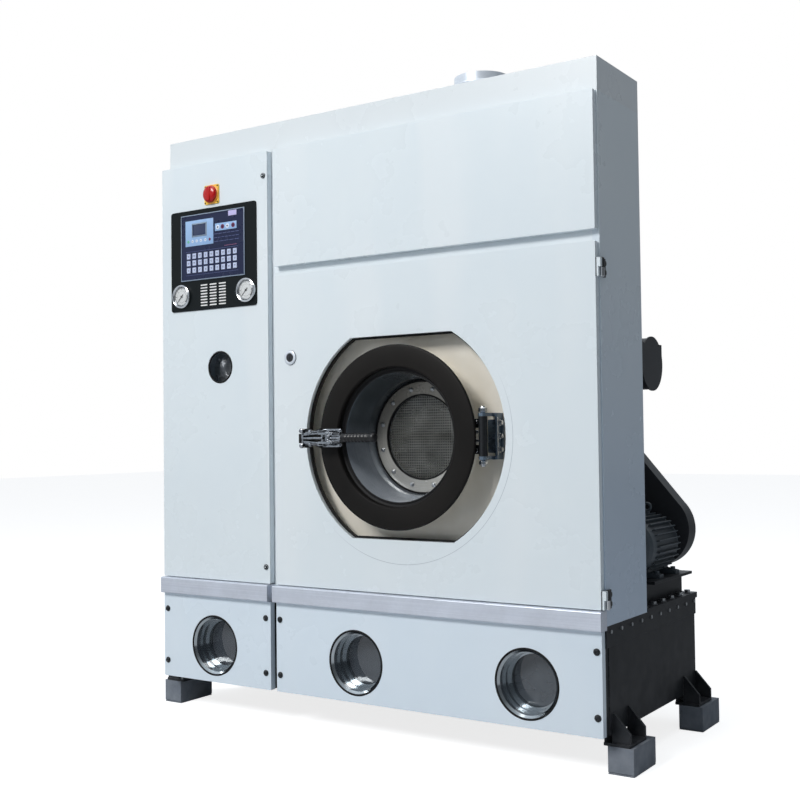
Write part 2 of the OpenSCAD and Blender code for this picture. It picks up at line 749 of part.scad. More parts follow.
module air_duct() color("#a7adb2") machine() {
  z0 = drum_z + tub_r - 60;
  x0 = drum_x - duct_w / 2;
  y1 = cabinet_d - sheet - tube - 2;
  cx = drum_x + collar_off;
  branch_z = fan_z + 300;
  difference() {
    union() {
      translate([x0, tub_y + 10, z0]) cube([duct_w, y1 - tub_y - 10, hood_z - tube - 6 - z0]);
      // Square neck that turns round under the collar
      translate([cx - collar_r - 6, collar_y - collar_r - 4, hood_z - tube - 20])
        cube([2 * collar_r + 12, 2 * collar_r + 8, 56]);
      translate([cx, collar_y, hood_z - tube]) cylinder(r = collar_r, h = hood_h + tube - 16 - seat);
      // Branch to the recovery fan: along under the upper right cover, then down
      translate([x0 + duct_w - 2, fan_duct_y, branch_z])
        cube([fan_x + fan_duct_w - x0 - duct_w + 2, fan_duct_w, fan_duct_w]);
      translate([fan_x, fan_duct_y, fan_z + fan_r - 16 - fan_duct_w])
        cube([fan_duct_w, fan_duct_w, branch_z + 1 - fan_z - fan_r + 16 + fan_duct_w]);
    }
    bar_y(drum_x, drum_z, tub_y, tub_rear_y, tub_r + seat);
    translate([x0 + 3, tub_y + 13, z0 - 1])
      cube([duct_w - 6, y1 - tub_y - 16, hood_z - tube - 9 - z0 + 1]);
    translate([cx, collar_y, hood_z - tube - 30]) cylinder(r = collar_r - 3, h = hood_h + tube + 40);
  }
}

// Scroll of the solvent recovery fan, seen behind the right side panel, with its motor
module recovery_fan() color("#2d3236") machine() {
  top = fan_z + fan_r - 16;
  difference() {
    union() {
      sideways(fan_x, fan_w) {
        translate([fan_y, fan_z]) circle(fan_r);
        translate([cabinet_d + 6, fan_z]) square([fan_y + fan_r - cabinet_d - 6, top - fan_z]);
      }
      // Neck that reaches forward past the rear post into the cabinet
      translate([fan_x, fan_duct_y + fan_duct_w + seat, top - fan_duct_w])
        cube([fan_duct_w, fan_y - fan_duct_y - fan_duct_w, fan_duct_w]);
      for (x = [fan_x, fan_x + fan_w - 4])
        sideways(x, 4) translate([fan_y, fan_z]) circle(fan_r + 4);
    }
    // Inlet eye on the left
    bar_x(fan_y, fan_z, fan_x - 1, fan_x + 6, 22);
  }
  // Motor carried on the scroll's left side
  bar_x(fan_y, fan_z, fan_x - 12, fan_x + 3, fan_r - 14);
  bar_x(fan_y, fan_z, fan_x - 64, fan_x - 11, fan_r - 32);
  for (a = [0 : 30 : 330])
    translate([fan_x - 60, fan_y, fan_z]) rotate([a, 0, 0])
      translate([0, -2, fan_r - 34]) cube([46, 4, 8]);
  // Bracket to the rear of the right-hand post
  translate([half_w - sheet - tube, cabinet_d, fan_z - 34]) cube([tube, 8, 68]);
  translate([half_w - sheet - tube, cabinet_d, fan_z - 34])
    cube([fan_x + fan_w - half_w + sheet + tube, 24, 68]);
}

module still_vessel() color("#8e9499") machine() {
  x = view_x;
  z1 = still_z + still_h;
  translate([x, still_y, 0]) rotate_extrude($fn = 96) difference() {
    union() {
      translate([0, still_z]) square([still_r, still_h]);
      intersection() {
        translate([0, z1 - still_r * 0.9]) circle(still_r * 1.346, $fn = 128);
        translate([0, z1 - 1]) square([still_r, still_r]);
      }
      polygon([
        [0, still_z + 1], [still_r, still_z + 1], [60, still_z - 110], [60, still_z - 150],
        [0, still_z - 150]]);
      for (z = [still_z + 40, z1 - 60]) translate([0, z]) square([still_r + 6, 14]);
    }
    translate([-2 * still_r, 0]) square([2 * still_r, 3000]);
  }
  // Three legs down to the tank
  for (leg = [[30, flange_t], [150, flange_t], [270, 0]])
    translate([x + (still_r - 30) * cos(leg[0]), still_y + (still_r - 30) * sin(leg[0]), base_top + leg[1]]) {
      cylinder(r = 16, h = still_z + 40 - base_top - leg[1]);
      cylinder(r = 26, h = 8);
    }
  // Stub that carries the viewing port
  bar_y(x, view_z, port_y + 22, still_y - still_r + 20, view_r + 2);
}

port_y = 22;                                 // front face of the still's viewing port

module still_sight_port() color("#9da2a6") machine() {
  turned(view_x, view_z) polygon([
    [view_r - 10, port_y + 4], [view_r - 8, port_y], [view_r + 14, port_y], [view_r + 18, port_y + 4],
    [view_r + 18, port_y + 22], [0, port_y + 22], [0, port_y + 14], [view_r - 14, port_y + 14]]);
  for (a = [30 : 60 : 330])
    translate([view_x, 0, view_z]) rotate([0, a, 0])
      translate([view_r + 4, port_y + 1, 0]) rotate([90, 0, 0]) cylinder(r = 6, h = 7, $fn = 6);
}

// ---------- drive ----------

module motor_platform() color("#2b2e31") machine() {
  web = 8;
  z0 = base_top + flange_t;
  x0 = motor_x - platform_in;
  x1 = half_w - 4;
  x_web = [x0 + 20, x1 - 40];
  upright(motor_y - 10, base_d + flange_rear - 29 - motor_y + 10) {
    translate([x0, platform_z - web]) square([x1 - x0, web]);
    for (x = x_web) translate([x, z0]) square([web, platform_z - z0]);
    translate([x_web[0] - 24, z0]) square([32, web]);
    translate([x_web[1] - 24, z0]) square([32, web]);
  }
  // Cross web that closes the channel half way
  translate([x_web[0], motor_y + 90, z0]) cube([x_web[1] - x_web[0] + 2, web, platform_z - z0 - 1]);
}

module drive_motor() color("#3c4348") machine() {
  core = motor_r - fin_h;
  y1 = motor_y + cowl_l;
  y2 = y1 + motor_l;
  // Domed fan cowl, body, rear shield and shaft
  turned(motor_x, motor_z) {
    polygon([[0, motor_y], [core * 0.55, motor_y], [core * 0.8, motor_y + 5], [core * 0.95, motor_y + 14],
             [core + 3, motor_y + 26], [core + 3, y1], [core, y1], [core, y2], [core - 6, y2 + 10],
             [core * 0.5, y2 + 20], [core * 0.4, y2 + 26], [motor_shaft_r + pin_gap, y2 + 26],
             [motor_shaft_r + pin_gap, y2 - 10], [0, y2 - 10]]);
  }
  difference() {
    for (i = [0 : fins - 1])
      translate([motor_x, 0, motor_z]) rotate([0, i * 360 / fins, 0])
        translate([core - 2, y1 + 4, -1.5]) cube([fin_h + 2, motor_l - 12, 3]);
    // No fins over the feet or under the terminal box
    translate([motor_x - 40, y1, motor_z - motor_r - 4]) cube([80, motor_l, 14]);
  }
  // Feet
  for (y = [y1 + 10, y2 - 40])
    difference() {
      upright(y, 30) polygon([
        [motor_x - 80, platform_z], [motor_x + 80, platform_z], [motor_x + 80, platform_z + 10],
        [motor_x + 46, platform_z + 16], [motor_x + 40, motor_z - 40], [motor_x - 40, motor_z - 40],
        [motor_x - 46, platform_z + 16], [motor_x - 80, platform_z + 10]]);
      bar_y(motor_x, motor_z, y - 1, y + 31, core - 2);
    }
  // Foot bolts
  for (x = [motor_x - 66, motor_x + 66], y = [y1 + 25, y2 - 25])
    translate([x, y, platform_z + 9]) {
      cylinder(d = 20, h = 3);
      cylinder(d = 15, h = 11, $fn = 6);
    }
  // Eye bolt
  translate([motor_x, y1 + motor_l * 0.72, motor_z + motor_r - 6]) {
    cylinder(r = 8, h = 12);
    translate([0, 0, 24]) rotate([90, 0, 0]) rotate_extrude($fn = 48) translate([11, 0]) circle(4, $fn = 24);
  }
  // Terminal box on the inner side
  translate([motor_x - motor_r - 30, y1 + 40, motor_z + 4]) cube([50, 84, 60]);
}

module guard_shape(inset) {
  small = guard_r - inset;
  big = guard_big_r - inset;
  dx = guard_x - drum_x;
  dz = guard_z - drum_z;
  d = sqrt(dx * dx + dz * dz);
  // Tangent points of the two straight runs
  along = atan2(dz, dx);
  lean = acos((big - small) / d);
  translate([drum_x, drum_z]) circle(big, $fn = 128);
  translate([guard_x, guard_z]) circle(small, $fn = 96);
  polygon([for (p = [[drum_x, drum_z, big, 1], [guard_x, guard_z, small, 1],
                     [guard_x, guard_z, small, -1], [drum_x, drum_z, big, -1]])
    [p[0] + (p[2] - 0.4) * cos(along + p[3] * lean), p[1] + (p[2] - 0.4) * sin(along + p[3] * lean)]]);
}

module belt_guard() color("#17191b") machine() difference() {
  union() {
    upright(guard_y, guard_depth) guard_shape(0);
    // Stays to the drum housing's rear wall
    for (a = [120, 200, 250])
      bar_y(drum_x + (guard_big_r - 14) * cos(a), drum_z + (guard_big_r - 14) * sin(a),
            tub_rear_y, guard_y + 1, 9);
  }
  upright(guard_y + guard_sheet, guard_depth - 2 * guard_sheet) guard_shape(guard_sheet);
  bar_y(drum_x, drum_z, guard_y - 1, guard_y + guard_sheet + 1, shaft_r + 8);
  bar_y(motor_x, motor_z, guard_y - 1, guard_y + guard_sheet + 1, motor_shaft_r + 8);
}

// Spoked pulley with V grooves
module pulley(x, z, r, bore) {
  w = pulley_w / 2;
  groove = 9;
  turned(x, z)
    polygon([[r - 26, pulley_y - w], [r, pulley_y - w], [r, pulley_y - w + 3],
             [r - groove, pulley_y - w + 6], [r - groove, pulley_y - 4], [r, pulley_y - 1],
             [r, pulley_y + 1], [r - groove, pulley_y + 4], [r - groove, pulley_y + w - 6],
             [r, pulley_y + w - 3], [r, pulley_y + w], [r - 26, pulley_y + w]]);
  turned(x, z) polygon([
    [bore, pulley_y - 5], [r - 25, pulley_y - 5], [r - 25, pulley_y + 5], [bore, pulley_y + 5]]);
  turned(x, z) polygon([
    [bore, pulley_y - w], [bore + 16, pulley_y - w], [bore + 16, pulley_y + w], [bore, pulley_y + w]]);
}

module drum_pulley() color("#2f3336") machine() difference() {
  pulley(drum_x, drum_z, drum_pulley_r, shaft_r + seat);
  // Lightening holes between the spokes
  for (a = [30 : 60 : 330])
    bar_y(drum_x + 150 * cos(a), drum_z + 150 * sin(a), pulley_y - 20, pulley_y + 20, 52);
}

// The pulley with the motor's shaft, which runs in the rear shield
module motor_pulley() color("#2f3336") machine() {
  pulley(motor_x, motor_z, motor_pulley_r, motor_shaft_r);
  bar_y(motor_x, motor_z, motor_y + cowl_l + motor_l - 10 + seat, shaft_end_y, motor_shaft_r);
}

// Two belts on the pulleys' outer faces
module drive_belt() color("#1b1b1c") machine() {
  dx = motor_x - drum_x;
  dz = motor_z - drum_z;
  d = sqrt(dx * dx + dz * dz);
  along = atan2(dz, dx);
  lean = acos((drum_pulley_r - motor_pulley_r) / d);
  for (y = [pulley_y - pulley_w / 2 + 1, pulley_y + 1])
    upright(y, pulley_w / 2 - 2) difference() {
      belt_loop(along, lean, drum_pulley_r + belt_t, motor_pulley_r + belt_t);
      belt_loop(along, lean, drum_pulley_r + seat, motor_pulley_r + seat);
    }
}

module belt_loop(along, lean, big, small) {
  translate([drum_x, drum_z]) circle(big, $fn = 128);
  translate([motor_x, motor_z]) circle(small, $fn = 96);
  polygon([for (p = [[drum_x, drum_z, big, 1], [motor_x, motor_z, small, 1],
                     [motor_x, motor_z, small, -1], [drum_x, drum_z, big, -1]])
    [p[0] + p[2] * cos(along + p[3] * lean), p[1] + p[2] * sin(along + p[3] * lean)]]);
}

// ---------- drum ----------

module drum() color("#b8bcc0") machine() {
  y0 = drum_front_y;
  y1 = drum_rear_y;
  difference() {
    turned(drum_x, drum_z) polygon([
      [drum_mouth_r, y0 - 6], [drum_mouth_r + 4, y0 - 8], [drum_mouth_r + 8, y0],
      [drum_r - 8, y0], [drum_r, y0 + 8], [drum_r, y1 - drum_wall - seat],
      [drum_r - drum_wall, y1 - drum_wall - seat], [drum_r - drum_wall, y0 + 10],
      [drum_r - 10, y0 + drum_wall], [drum_mouth_r, y0 + drum_wall]]);
    // Pressed holes in staggered rows round the wall
    for (row = [0 : drum_rows - 1], i = [0 : drum_holes - 1])
      translate([drum_x, y0 + 60 + row * (drum_d - 110) / (drum_rows - 1), drum_z])
        rotate([0, (i + (row % 2) / 2) * 360 / drum_holes + 4, 0])
          translate([0, 0, drum_r - 12]) cylinder(r = drum_hole_r, h = 24);
  }
  // Lifters: rounded ridges on the wall
  for (i = [0 : lifters - 1])
    translate([drum_x, 0, drum_z]) rotate([0, 40 + i * 360 / lifters, 0])
      translate([0, y0 + 20, 0]) rotate([-90, 0, 0]) linear_extrude(drum_d - 24)
        difference() {
          union() {
            polygon([[drum_r - 4, -52], [drum_r - lifter_h, -14], [drum_r - lifter_h, 14], [drum_r - 4, 52]]);
            translate([drum_r - lifter_h, 0]) circle(14);
          }
          difference() {
            square([3 * drum_r, 3 * drum_r], center = true);
            circle(drum_r - drum_wall / 2, $fn = 128);
          }
        }
  // Rear wall, set on the rolled shell's end, with hub, spider and shaft
  turned(drum_x, drum_z) polygon([
    [0, y1 - drum_wall], [drum_r, y1 - drum_wall], [drum_r, y1], [120, y1], [120, y1 + 8],
    [60, y1 + 14], [shaft_r + 12, y1 + 30], [shaft_r, y1 + 34], [shaft_r, shaft_end_y], [0, shaft_end_y]]);
  for (a = [0 : 120 : 240])
    translate([drum_x, 0, drum_z]) rotate([0, a, 0]) translate([90, y1 - 1, -16])
      cube([drum_r - 100, 18, 32]);
}

// ---------- service door ----------

module service_door() color("#dfe8ee") machine() {
  difference() {
    union() {
      folded_cover(right_x, right_end, cover_z, door_top_z);
      upright(-cover_t, cutout_rim) translate([drum_x, drum_z]) cutout_shape(-sheet);
      // Seat behind the lock
      bar_y(lock_x(), lock_z, -cover_t + 1, -cover_t + 6, lock_r + 4);
    }
    upright(-cover_t - 1, cutout_rim + 2) translate([drum_x, drum_z]) cutout_shape(0);
    bar_y(lock_x(), lock_z, -cover_t - 1, 1, lock_r - 6 + seat);
  }
  // Moving leaves of the two hinges, on the door's right edge
  for (z = [hinge_lo_z, hinge_hi_z]) {
    translate([right_end - 0.5, -cover_t + 1, z - leaf_h / 2])
      cube([hinge_axis_x - knuckle_r + 3 - right_end, 9, leaf_h]);
    hinge_half(z + seat, leaf_h / 2 - seat);
  }
}

function lock_x() = right_x + lock_in;

// Half a knuckle that turns on the hinge pin
module hinge_half(z, h) difference() {
  union() {
    translate([hinge_axis_x, hinge_axis_y, z]) cylinder(r = knuckle_r, h = h);
    translate([hinge_axis_x - 3, -cover_t + 1, z]) cube([6, cover_t - 1 + hinge_axis_y, h]);
  }
  translate([hinge_axis_x, hinge_axis_y, z - 1]) cylinder(r = knuckle_r / 2 + pin_gap, h = h + 2);
}

module service_hinges() color("#1b1d1f") machine()
  for (z = [hinge_lo_z, hinge_hi_z]) {
    translate([half_w, 4, z - leaf_h / 2]) cube([leaf_t, 22, leaf_h]);
    for (i = [-1, 1])
      translate([half_w, 20, z + i * leaf_h / 4]) rotate([0, 90, 0]) cylinder(r = 7, h = leaf_t + 2);
    // Fixed half knuckle, its web and the pin
    translate([hinge_axis_x, hinge_axis_y, z - leaf_h / 2]) cylinder(r = knuckle_r, h = leaf_h / 2);
    translate([half_w, hinge_axis_y, z - leaf_h / 2]) cube([hinge_axis_x - half_w, 8, leaf_h / 2]);
    translate([hinge_axis_x, hinge_axis_y, z - 1]) cylinder(r = knuckle_r / 2, h = leaf_h / 2 + 3);
  }

// Quarter-turn lock: bezel, barrel with a key slot and a tongue at the rear
module service_lock() color("#3a3d41") machine() {
  x = lock_x();
  y0 = -cover_t - 3;
  difference() {
    union() {
      turned(x, lock_z) polygon([
        [0, y0 + 2], [lock_r - 8, y0 + 2], [lock_r - 6, y0], [lock_r - 2, y0], [lock_r, y0 + 1.5],
        [lock_r, -cover_t], [lock_r - 6, -cover_t], [lock_r - 6, frame_y], [8, frame_y],
        [8, frame_y + 7], [0, frame_y + 7]]);
    }
    translate([x - 1.5, y0 - 1, lock_z - 7]) cube([3, 8, 14]);
  }
  translate([x - 8, frame_y + 3 + seat, lock_z - 8]) cube([16, 3, 52]);
}

// ---------- loading door ----------

module door_ring() color("#1f2021") machine() {
  turned(drum_x, drum_z) difference() {
    union() {
      translate([ring_in_r, ring_y + ring_round]) square([ring_r - ring_in_r, ring_t - ring_round]);
      translate([ring_in_r, ring_y]) square([ring_r - ring_round - ring_in_r, ring_round + 1]);
      translate([ring_r - ring_round, ring_y + ring_round]) circle(ring_round, $fn = 48);
    }
    // Step on the inner edge that the bowl sits in
    translate([0, ring_y + 23]) square([ring_in_r + 8, ring_t]);
    translate([ring_in_r, ring_y]) rotate(45) square(6, center = true);
  }
}

// Spun stainless bowl with two steps, flanged behind the ring and drilled for the window
module door_bowl() color("#a8adb2") machine() {
  w = 2;
  y0 = ring_y + 23 + seat;
  turned(drum_x, drum_z) polygon([
    [bowl_r, y0], [ring_in_r + 7.5, y0], [ring_in_r + 7.5, y0 + 3], [bowl_r + w, y0 + 3],
    [bowl_r + w, y0 + 62], [bowl_end_r + w + 4, y0 + 72], [bowl_end_r + w, bowl_far_y - 30],
    [bowl_end_r + w, bowl_far_y + 4], [clamp_in_r, bowl_far_y + 4], [clamp_in_r, bowl_far_y],
    [bowl_end_r, bowl_far_y], [bowl_end_r, bowl_far_y - 30], [bowl_end_r + 4, y0 + 70],
    [bowl_r, y0 + 60]]);
}

module door_gasket() color("#161616") machine() {
  y0 = ring_y + ring_t;
  turned(drum_x, drum_z) {
    translate([neck_r + 4, y0]) square([22, gasket_t - 2]);
    translate([neck_r + 15, y0 + gasket_t - 2.6]) circle(2.4, $fn = 24);
  }
}

module door_glass() color("#6f7b80") machine()
  bar_y(drum_x, drum_z, clamp_y + clamp_t, bowl_far_y, bowl_end_r - 4);

module door_clamp_ring() color("#8c9195") machine()
  turned(drum_x, drum_z) polygon([
    [clamp_in_r, clamp_y + 2], [clamp_in_r + 2, clamp_y], [bowl_end_r - 6, clamp_y],
    [bowl_end_r - 4, clamp_y + 2], [bowl_end_r - 4, clamp_y + clamp_t], [clamp_in_r, clamp_y + clamp_t]]);

module door_clamp_bolts() color("#c9ccd0") machine()
  for (i = [0 : clamp_bolts - 1]) {
    a = (i + 0.5) * 360 / clamp_bolts;
    r = (clamp_in_r + bowl_end_r - 4) / 2;
    translate([drum_x + r * cos(a), clamp_y, drum_z + r * sin(a)]) rotate([90, 0, 0]) {
      cylinder(r = 7.5, h = 1.5);
      cylinder(r = 6, h = 6.5, $fn = 6);
    }
  }

// Hinge arm: long knuckle with two straps bolted to the back of the ring
module door_hinge_arm() color("#3b3f42") machine() {
  z0 = drum_z - hinge_arm_h / 2;
  difference() {
    union() {
      translate([arm_x, door_hinge_y, z0]) cylinder(r = hinge_pin_r + 5.5, h = hinge_arm_h);
      for (z = [z0 + 6, z0 + hinge_arm_h - 30])
        translate([drum_x + ring_r - 24, ring_y + ring_t, z])
          cube([arm_x - drum_x - ring_r + 24, 5, 24]);
      translate([arm_x - 11, door_hinge_y, z0 + 6])
        cube([11, ring_y + ring_t + 5 - door_hinge_y, hinge_arm_h - 12]);
    }
    translate([arm_x, door_hinge_y, z0 - 1]) cylinder(r = hinge_pin_r + pin_gap, h = hinge_arm_h + 2);
  }
}

// Bracket on the drum housing's plate: two ears, the pin with its nuts, three bolts
module tub_hinge_bracket() color("#8b9094") machine() {
  z0 = drum_z - hinge_arm_h / 2;
  x0 = arm_x - 22;
  ear_t = 9;
  upright(plate_y - 10, 10) rounded_at(x0, x0 + 46, z0 + 8, z0 + hinge_arm_h - 8, 3);
  difference() {
    for (z = [z0 - seat - ear_t, z0 + hinge_arm_h + seat])
      translate([arm_x - 11, door_hinge_y - 11, z]) {
        cube([22, plate_y - door_hinge_y + 11, ear_t]);
      }
    for (z = [z0 - seat - ear_t, z0 + hinge_arm_h + seat], s = [-1, 1])
      translate([arm_x + s * 11, door_hinge_y - 11, z - 1]) rotate([0, 0, 45])
        cube([8, 8, 2 * ear_t + 4], center = true);
  }
  // Outer strap that joins the ears to the base
  translate([arm_x + 13.5, plate_y - 34, z0 - seat - ear_t])
    cube([6, 34, hinge_arm_h + 2 * seat + 2 * ear_t]);
  translate([arm_x + 5, plate_y - 34, z0 - seat - ear_t]) cube([10, 34, ear_t]);
  translate([arm_x + 5, plate_y - 34, z0 + hinge_arm_h + seat]) cube([10, 34, ear_t]);
  translate([arm_x, door_hinge_y, z0 - 22]) {
    cylinder(r = hinge_pin_r, h = hinge_arm_h + 44);
    cylinder(r = hinge_pin_r + 4, h = 10, $fn = 6);
    translate([0, 0, hinge_arm_h + 34]) cylinder(r = hinge_pin_r + 4, h = 10, $fn = 6);
  }
  for (i = [-1 : 1])
    translate([arm_x - 6, plate_y - 10, drum_z + i * (hinge_arm_h / 2 - 22)]) rotate([90, 0, 0]) {
      cylinder(r = 9, h = 2);
      cylinder(r = 7.5, h = 8, $fn = 6);
    }
}

// ---------- latch ----------

// Keeper on the drum housing's plate: a stout arm with an upper and a lower lug
module door_keeper() color("#77797c") machine() {
  x0 = keeper_x;
  y0 = latch_y + claw_r + seat;
  sideways(x0 + 6, 16) polygon([
    [plate_y, drum_z - 40], [plate_y, drum_z + 40], [plate_y - 14, drum_z + 40],
    [y0 + 18, drum_z + 12], [y0, drum_z + 12], [y0, drum_z - 12], [y0 + 18, drum_z - 12],
    [plate_y - 14, drum_z - 40]]);
  upright(plate_y - 8, 8) rounded_at(x0 - 4, x0 + 30, drum_z - 52, drum_z + 52, 4);
  translate([x0 + 4, y0, drum_z - claw_gap / 2 - 6]) cube([20, 12, claw_gap + 12]);
  for (s = [-1, 1]) {
    translate([x0 + 13, plate_y - 8, drum_z + s * 44]) rotate([90, 0, 0]) cylinder(r = 6, h = 6, $fn = 6);
  }
}

// Base of the latch, bolted to the ring's face
module latch_base() color("#c5c9cd") machine() {
  x0 = drum_x - ring_r + 12;
  x1 = lever_x + 20;
  upright(ring_y - 5, 5) rounded_at(x0, x1, drum_z - 26, drum_z + 26, 6);
  // Two cheeks carry the pivots
  for (z = [drum_z - 16, drum_z + 10])
    translate([0, 0, z]) linear_extrude(6)
      polygon([[claw_x - 14, ring_y - 4], [lever_x + 20, ring_y - 4], [lever_x + 11, latch_y - 8],
               [lever_x - 6, latch_y - 11], [claw_x - 10, latch_y - 9]]);
  for (x = [x0 + 9, x1 - 9], s = [-1, 1])
    translate([x, ring_y - 5, drum_z + s * 21]) rotate([90, 0, 0]) cylinder(r = 4.5, h = 3.5);
  // Pivot pins of the claw and of the lever
  for (x = [claw_x, lever_x])
    translate([x, latch_y, drum_z - 19]) cylinder(r = 3.5, h = 38);
}

// Claw: two adjustable bars with a crosshead that lies on the keeper's lugs
module latch_claw() color("#d3d6d9") machine() {
  x0 = keeper_x + 2;
  for (s = [-1, 1]) {
    bar_x(latch_y, drum_z + s * claw_gap / 2, x0, claw_x - 24, claw_r);
    // Hexagon adjusting nut
    bar_nut(drum_z + s * claw_gap / 2);
    bar_y(x0 + 6, drum_z + s * claw_gap / 2, latch_y - latch_depth + 2, latch_y + claw_r, claw_r + 2);
  }
  translate([x0 + 2, latch_y - 4, drum_z - claw_gap / 2]) cube([9, 8, claw_gap]);
  // Yoke on the claw's pivot
  difference() {
    union() {
      translate([claw_x, latch_y, drum_z - 9.5]) cylinder(r = 8.5, h = 19);
      translate([claw_x - 26, latch_y - 5, drum_z - 9.5]) cube([22, 10, 19]);
      translate([claw_x - 34, latch_y - 5, drum_z - claw_gap / 2 - 3]) cube([12, 10, claw_gap + 6]);
    }
    translate([claw_x, latch_y, drum_z - 11]) cylinder(r = 3.5 + pin_gap, h = 22);
  }
}

module bar_nut(z)
  translate([claw_x - 42, latch_y, z]) rotate([0, 90, 0]) cylinder(r = claw_r + 4, h = 8, $fn = 6);

// Lever: forked root on its pivot, flat shank that runs into the grip
module latch_lever() color("#c9cdd1") machine() difference() {
  union() {
    translate([lever_x, latch_y, drum_z - 9.5]) cylinder(r = 9, h = 19);
    translate([lever_x, latch_y - 5, drum_z - 7]) cube([40, 10, 14]);
    bar_x(latch_y, drum_z, lever_x + 36, lever_x + 52 + grip_l * 0.7, 5);
  }
  translate([lever_x, latch_y, drum_z - 11]) cylinder(r = 3.5 + pin_gap, h = 22);
}

module latch_grip() color("#141414") machine() difference() {
  translate([lever_x + 46, latch_y, drum_z]) rotate([0, 90, 0]) rotate_extrude($fn = 64) {
    intersection() {
      union() {
        polygon([[0, 0], [grip_r - 4, 0], [grip_r - 1, 5], [grip_r - 2.5, 24], [grip_r, 52],
                 [grip_r - 1.5, 82], [grip_r, grip_l - 14], [0, grip_l - 14]]);
        translate([0, grip_l - grip_r]) circle(grip_r);
      }
      square([grip_r, grip_l]);
    }
  }
  bar_x(latch_y, drum_z, lever_x + 40, lever_x + 52 + grip_l * 0.7, 5);
}

// ---------- controls ----------

module control_cover() color("#dfe8ee") machine() {
  difference() {
    union() {
      folded_cover(left_x, groove_x, cover_z, hood_z);
      // Return along the body's left side, with the hinges' moving halves
      translate([left_x, -cover_t + 4, cover_z]) cube([sheet, cover_t + 12, hood_z - cover_z]);
      for (z = cover_hinge_z()) {
        translate([left_x + 1, cover_axis_y - 1.5, z + seat]) cube([cover_axis_x - left_x - 1, 3, 28]);
        translate([cover_axis_x, cover_axis_y, z + seat]) cylinder(r = cover_barrel_r, h = 28);
      }
    }
    bar_y(view_x, view_z, -cover_t - 1, 1, view_r);
    for (x = gauge_x) bar_y(x, gauge_z, -cover_t - 1, 1, gauge_r - 12 + seat);
    for (z = cover_hinge_z())
      translate([cover_axis_x, cover_axis_y, z - 1]) cylinder(r = 2 + pin_gap, h = 32);
  }
  // Captive screws on the right edge
  for (z = [cover_z + 50, hood_z - 75]) {
    bar_y(groove_x - 15, z, -cover_t - 3, -cover_t + 1, 7);
    bar_y(groove_x - 15, z, -cover_t - 5.5, -cover_t - 2, 4.5);
  }
}

module control_plate() color("#17181a") machine() difference() {
  upright(-cover_t - plate_t, plate_t)
    rounded_at(plate_x, plate_x + plate_w, plate_z, plate_z + plate_h, 9);
  for (x = gauge_x) bar_y(x, gauge_z, -cover_t - plate_t - 1, -cover_t + 1, gauge_r - 12 + seat);
  for (c = [0 : slot_cols - 1], r = [0 : slot_rows - 1])
    translate([plate_x + plate_w / 2 + (c - (slot_cols - 1) / 2) * (slot_l + 8),
               -cover_t - plate_t - 1, gauge_z + 31 - r * slot_pitch])
      rotate([-90, 0, 0]) linear_extrude(plate_t + 2) rounded(slot_l, slot_h, slot_h / 2 - 0.1);
}

// Keypad with a raised frame and a window for the display
module keypad() color("#2c3560") machine() {
  x0 = plate_x + (plate_w - keypad_w) / 2;
  z1 = plate_z + plate_h - 16;
  y0 = -cover_t - plate_t - keypad_t;
  difference() {
    upright(y0, keypad_t) rounded_at(x0, x0 + keypad_w, z1 - keypad_h, z1, 4);
    upright(y0 - 1, 2) rounded_at(x0 + 50, x0 + 106, z1 - 70, z1 - 32, 2);
  }
  // Raised keys in three rows of nine
  for (i = [0 : 8], j = [0 : 2])
    upright(y0 - 0.6, 1) rounded_at(x0 + 28 + i * 24.3, x0 + 41 + i * 24.3,
                                    z1 - keypad_h + 20 + j * 22, z1 - keypad_h + 35 + j * 22, 2);
}

module gauge(x) {
  y0 = -cover_t - plate_t;
  turned(x, gauge_z) polygon([
    [gauge_r - 7, y0 - gauge_out], [gauge_r - 3, y0 - gauge_out], [gauge_r - 1, y0 - gauge_out + 2],
    [gauge_r, y0 - 2], [gauge_r, y0], [gauge_r - 12, y0], [gauge_r - 12, gauge_back],
    [0, gauge_back], [0, gauge_dial_y()], [gauge_r - 9, gauge_dial_y()],
    [gauge_r - 9, y0 - gauge_out + 2]]);
  // Pivot of the needle and the connection at the rear
  bar_y(x, gauge_z, gauge_dial_y() - 3, gauge_dial_y() + 1, 1.5);
  bar_y(x, gauge_z, gauge_back - 1, gauge_back + 14, 9);
}

function gauge_dial_y() = -cover_t - plate_t - gauge_out + 6;

module gauge_left() color("#c7c9cb") machine() gauge(gauge_x[0]);
module gauge_right() color("#c7c9cb") machine() gauge(gauge_x[1]);

// Needle that points to the lower left at rest, with a round boss on the pivot
module needle(x) {
  y0 = gauge_dial_y() - 2.2;
  difference() {
    union() {
      bar_y(x, gauge_z, y0, y0 + 1.6, 3.6);
      upright(y0 + 0.4, 0.8) translate([x, gauge_z]) rotate(225)
        polygon([[-9, -1.6], [0, -1.4], [gauge_r - 13, -0.4], [gauge_r - 13, 0.4], [0, 1.4], [-9, 1.6]]);
    }
    bar_y(x, gauge_z, y0 - 1, y0 + 3, 1.5 + pin_gap);
  }
}

module gauge_needle_left() color("#141414") machine() needle(gauge_x[0]);
module gauge_needle_right() color("#141414") machine() needle(gauge_x[1]);

module switch_plate() color("#f2c21a") machine() {
  upright(-cover_t - 4, 4)
    rounded_at(knob_x - switch_side / 2, knob_x + switch_side / 2,
               switch_z - switch_side / 2, switch_z + switch_side / 2, 4);
  turned(knob_x, switch_z) polygon([
    [0, -cover_t - 8], [knob_r + 1.5, -cover_t - 8], [knob_r + 3, -cover_t - 3], [0, -cover_t - 3]]);
}

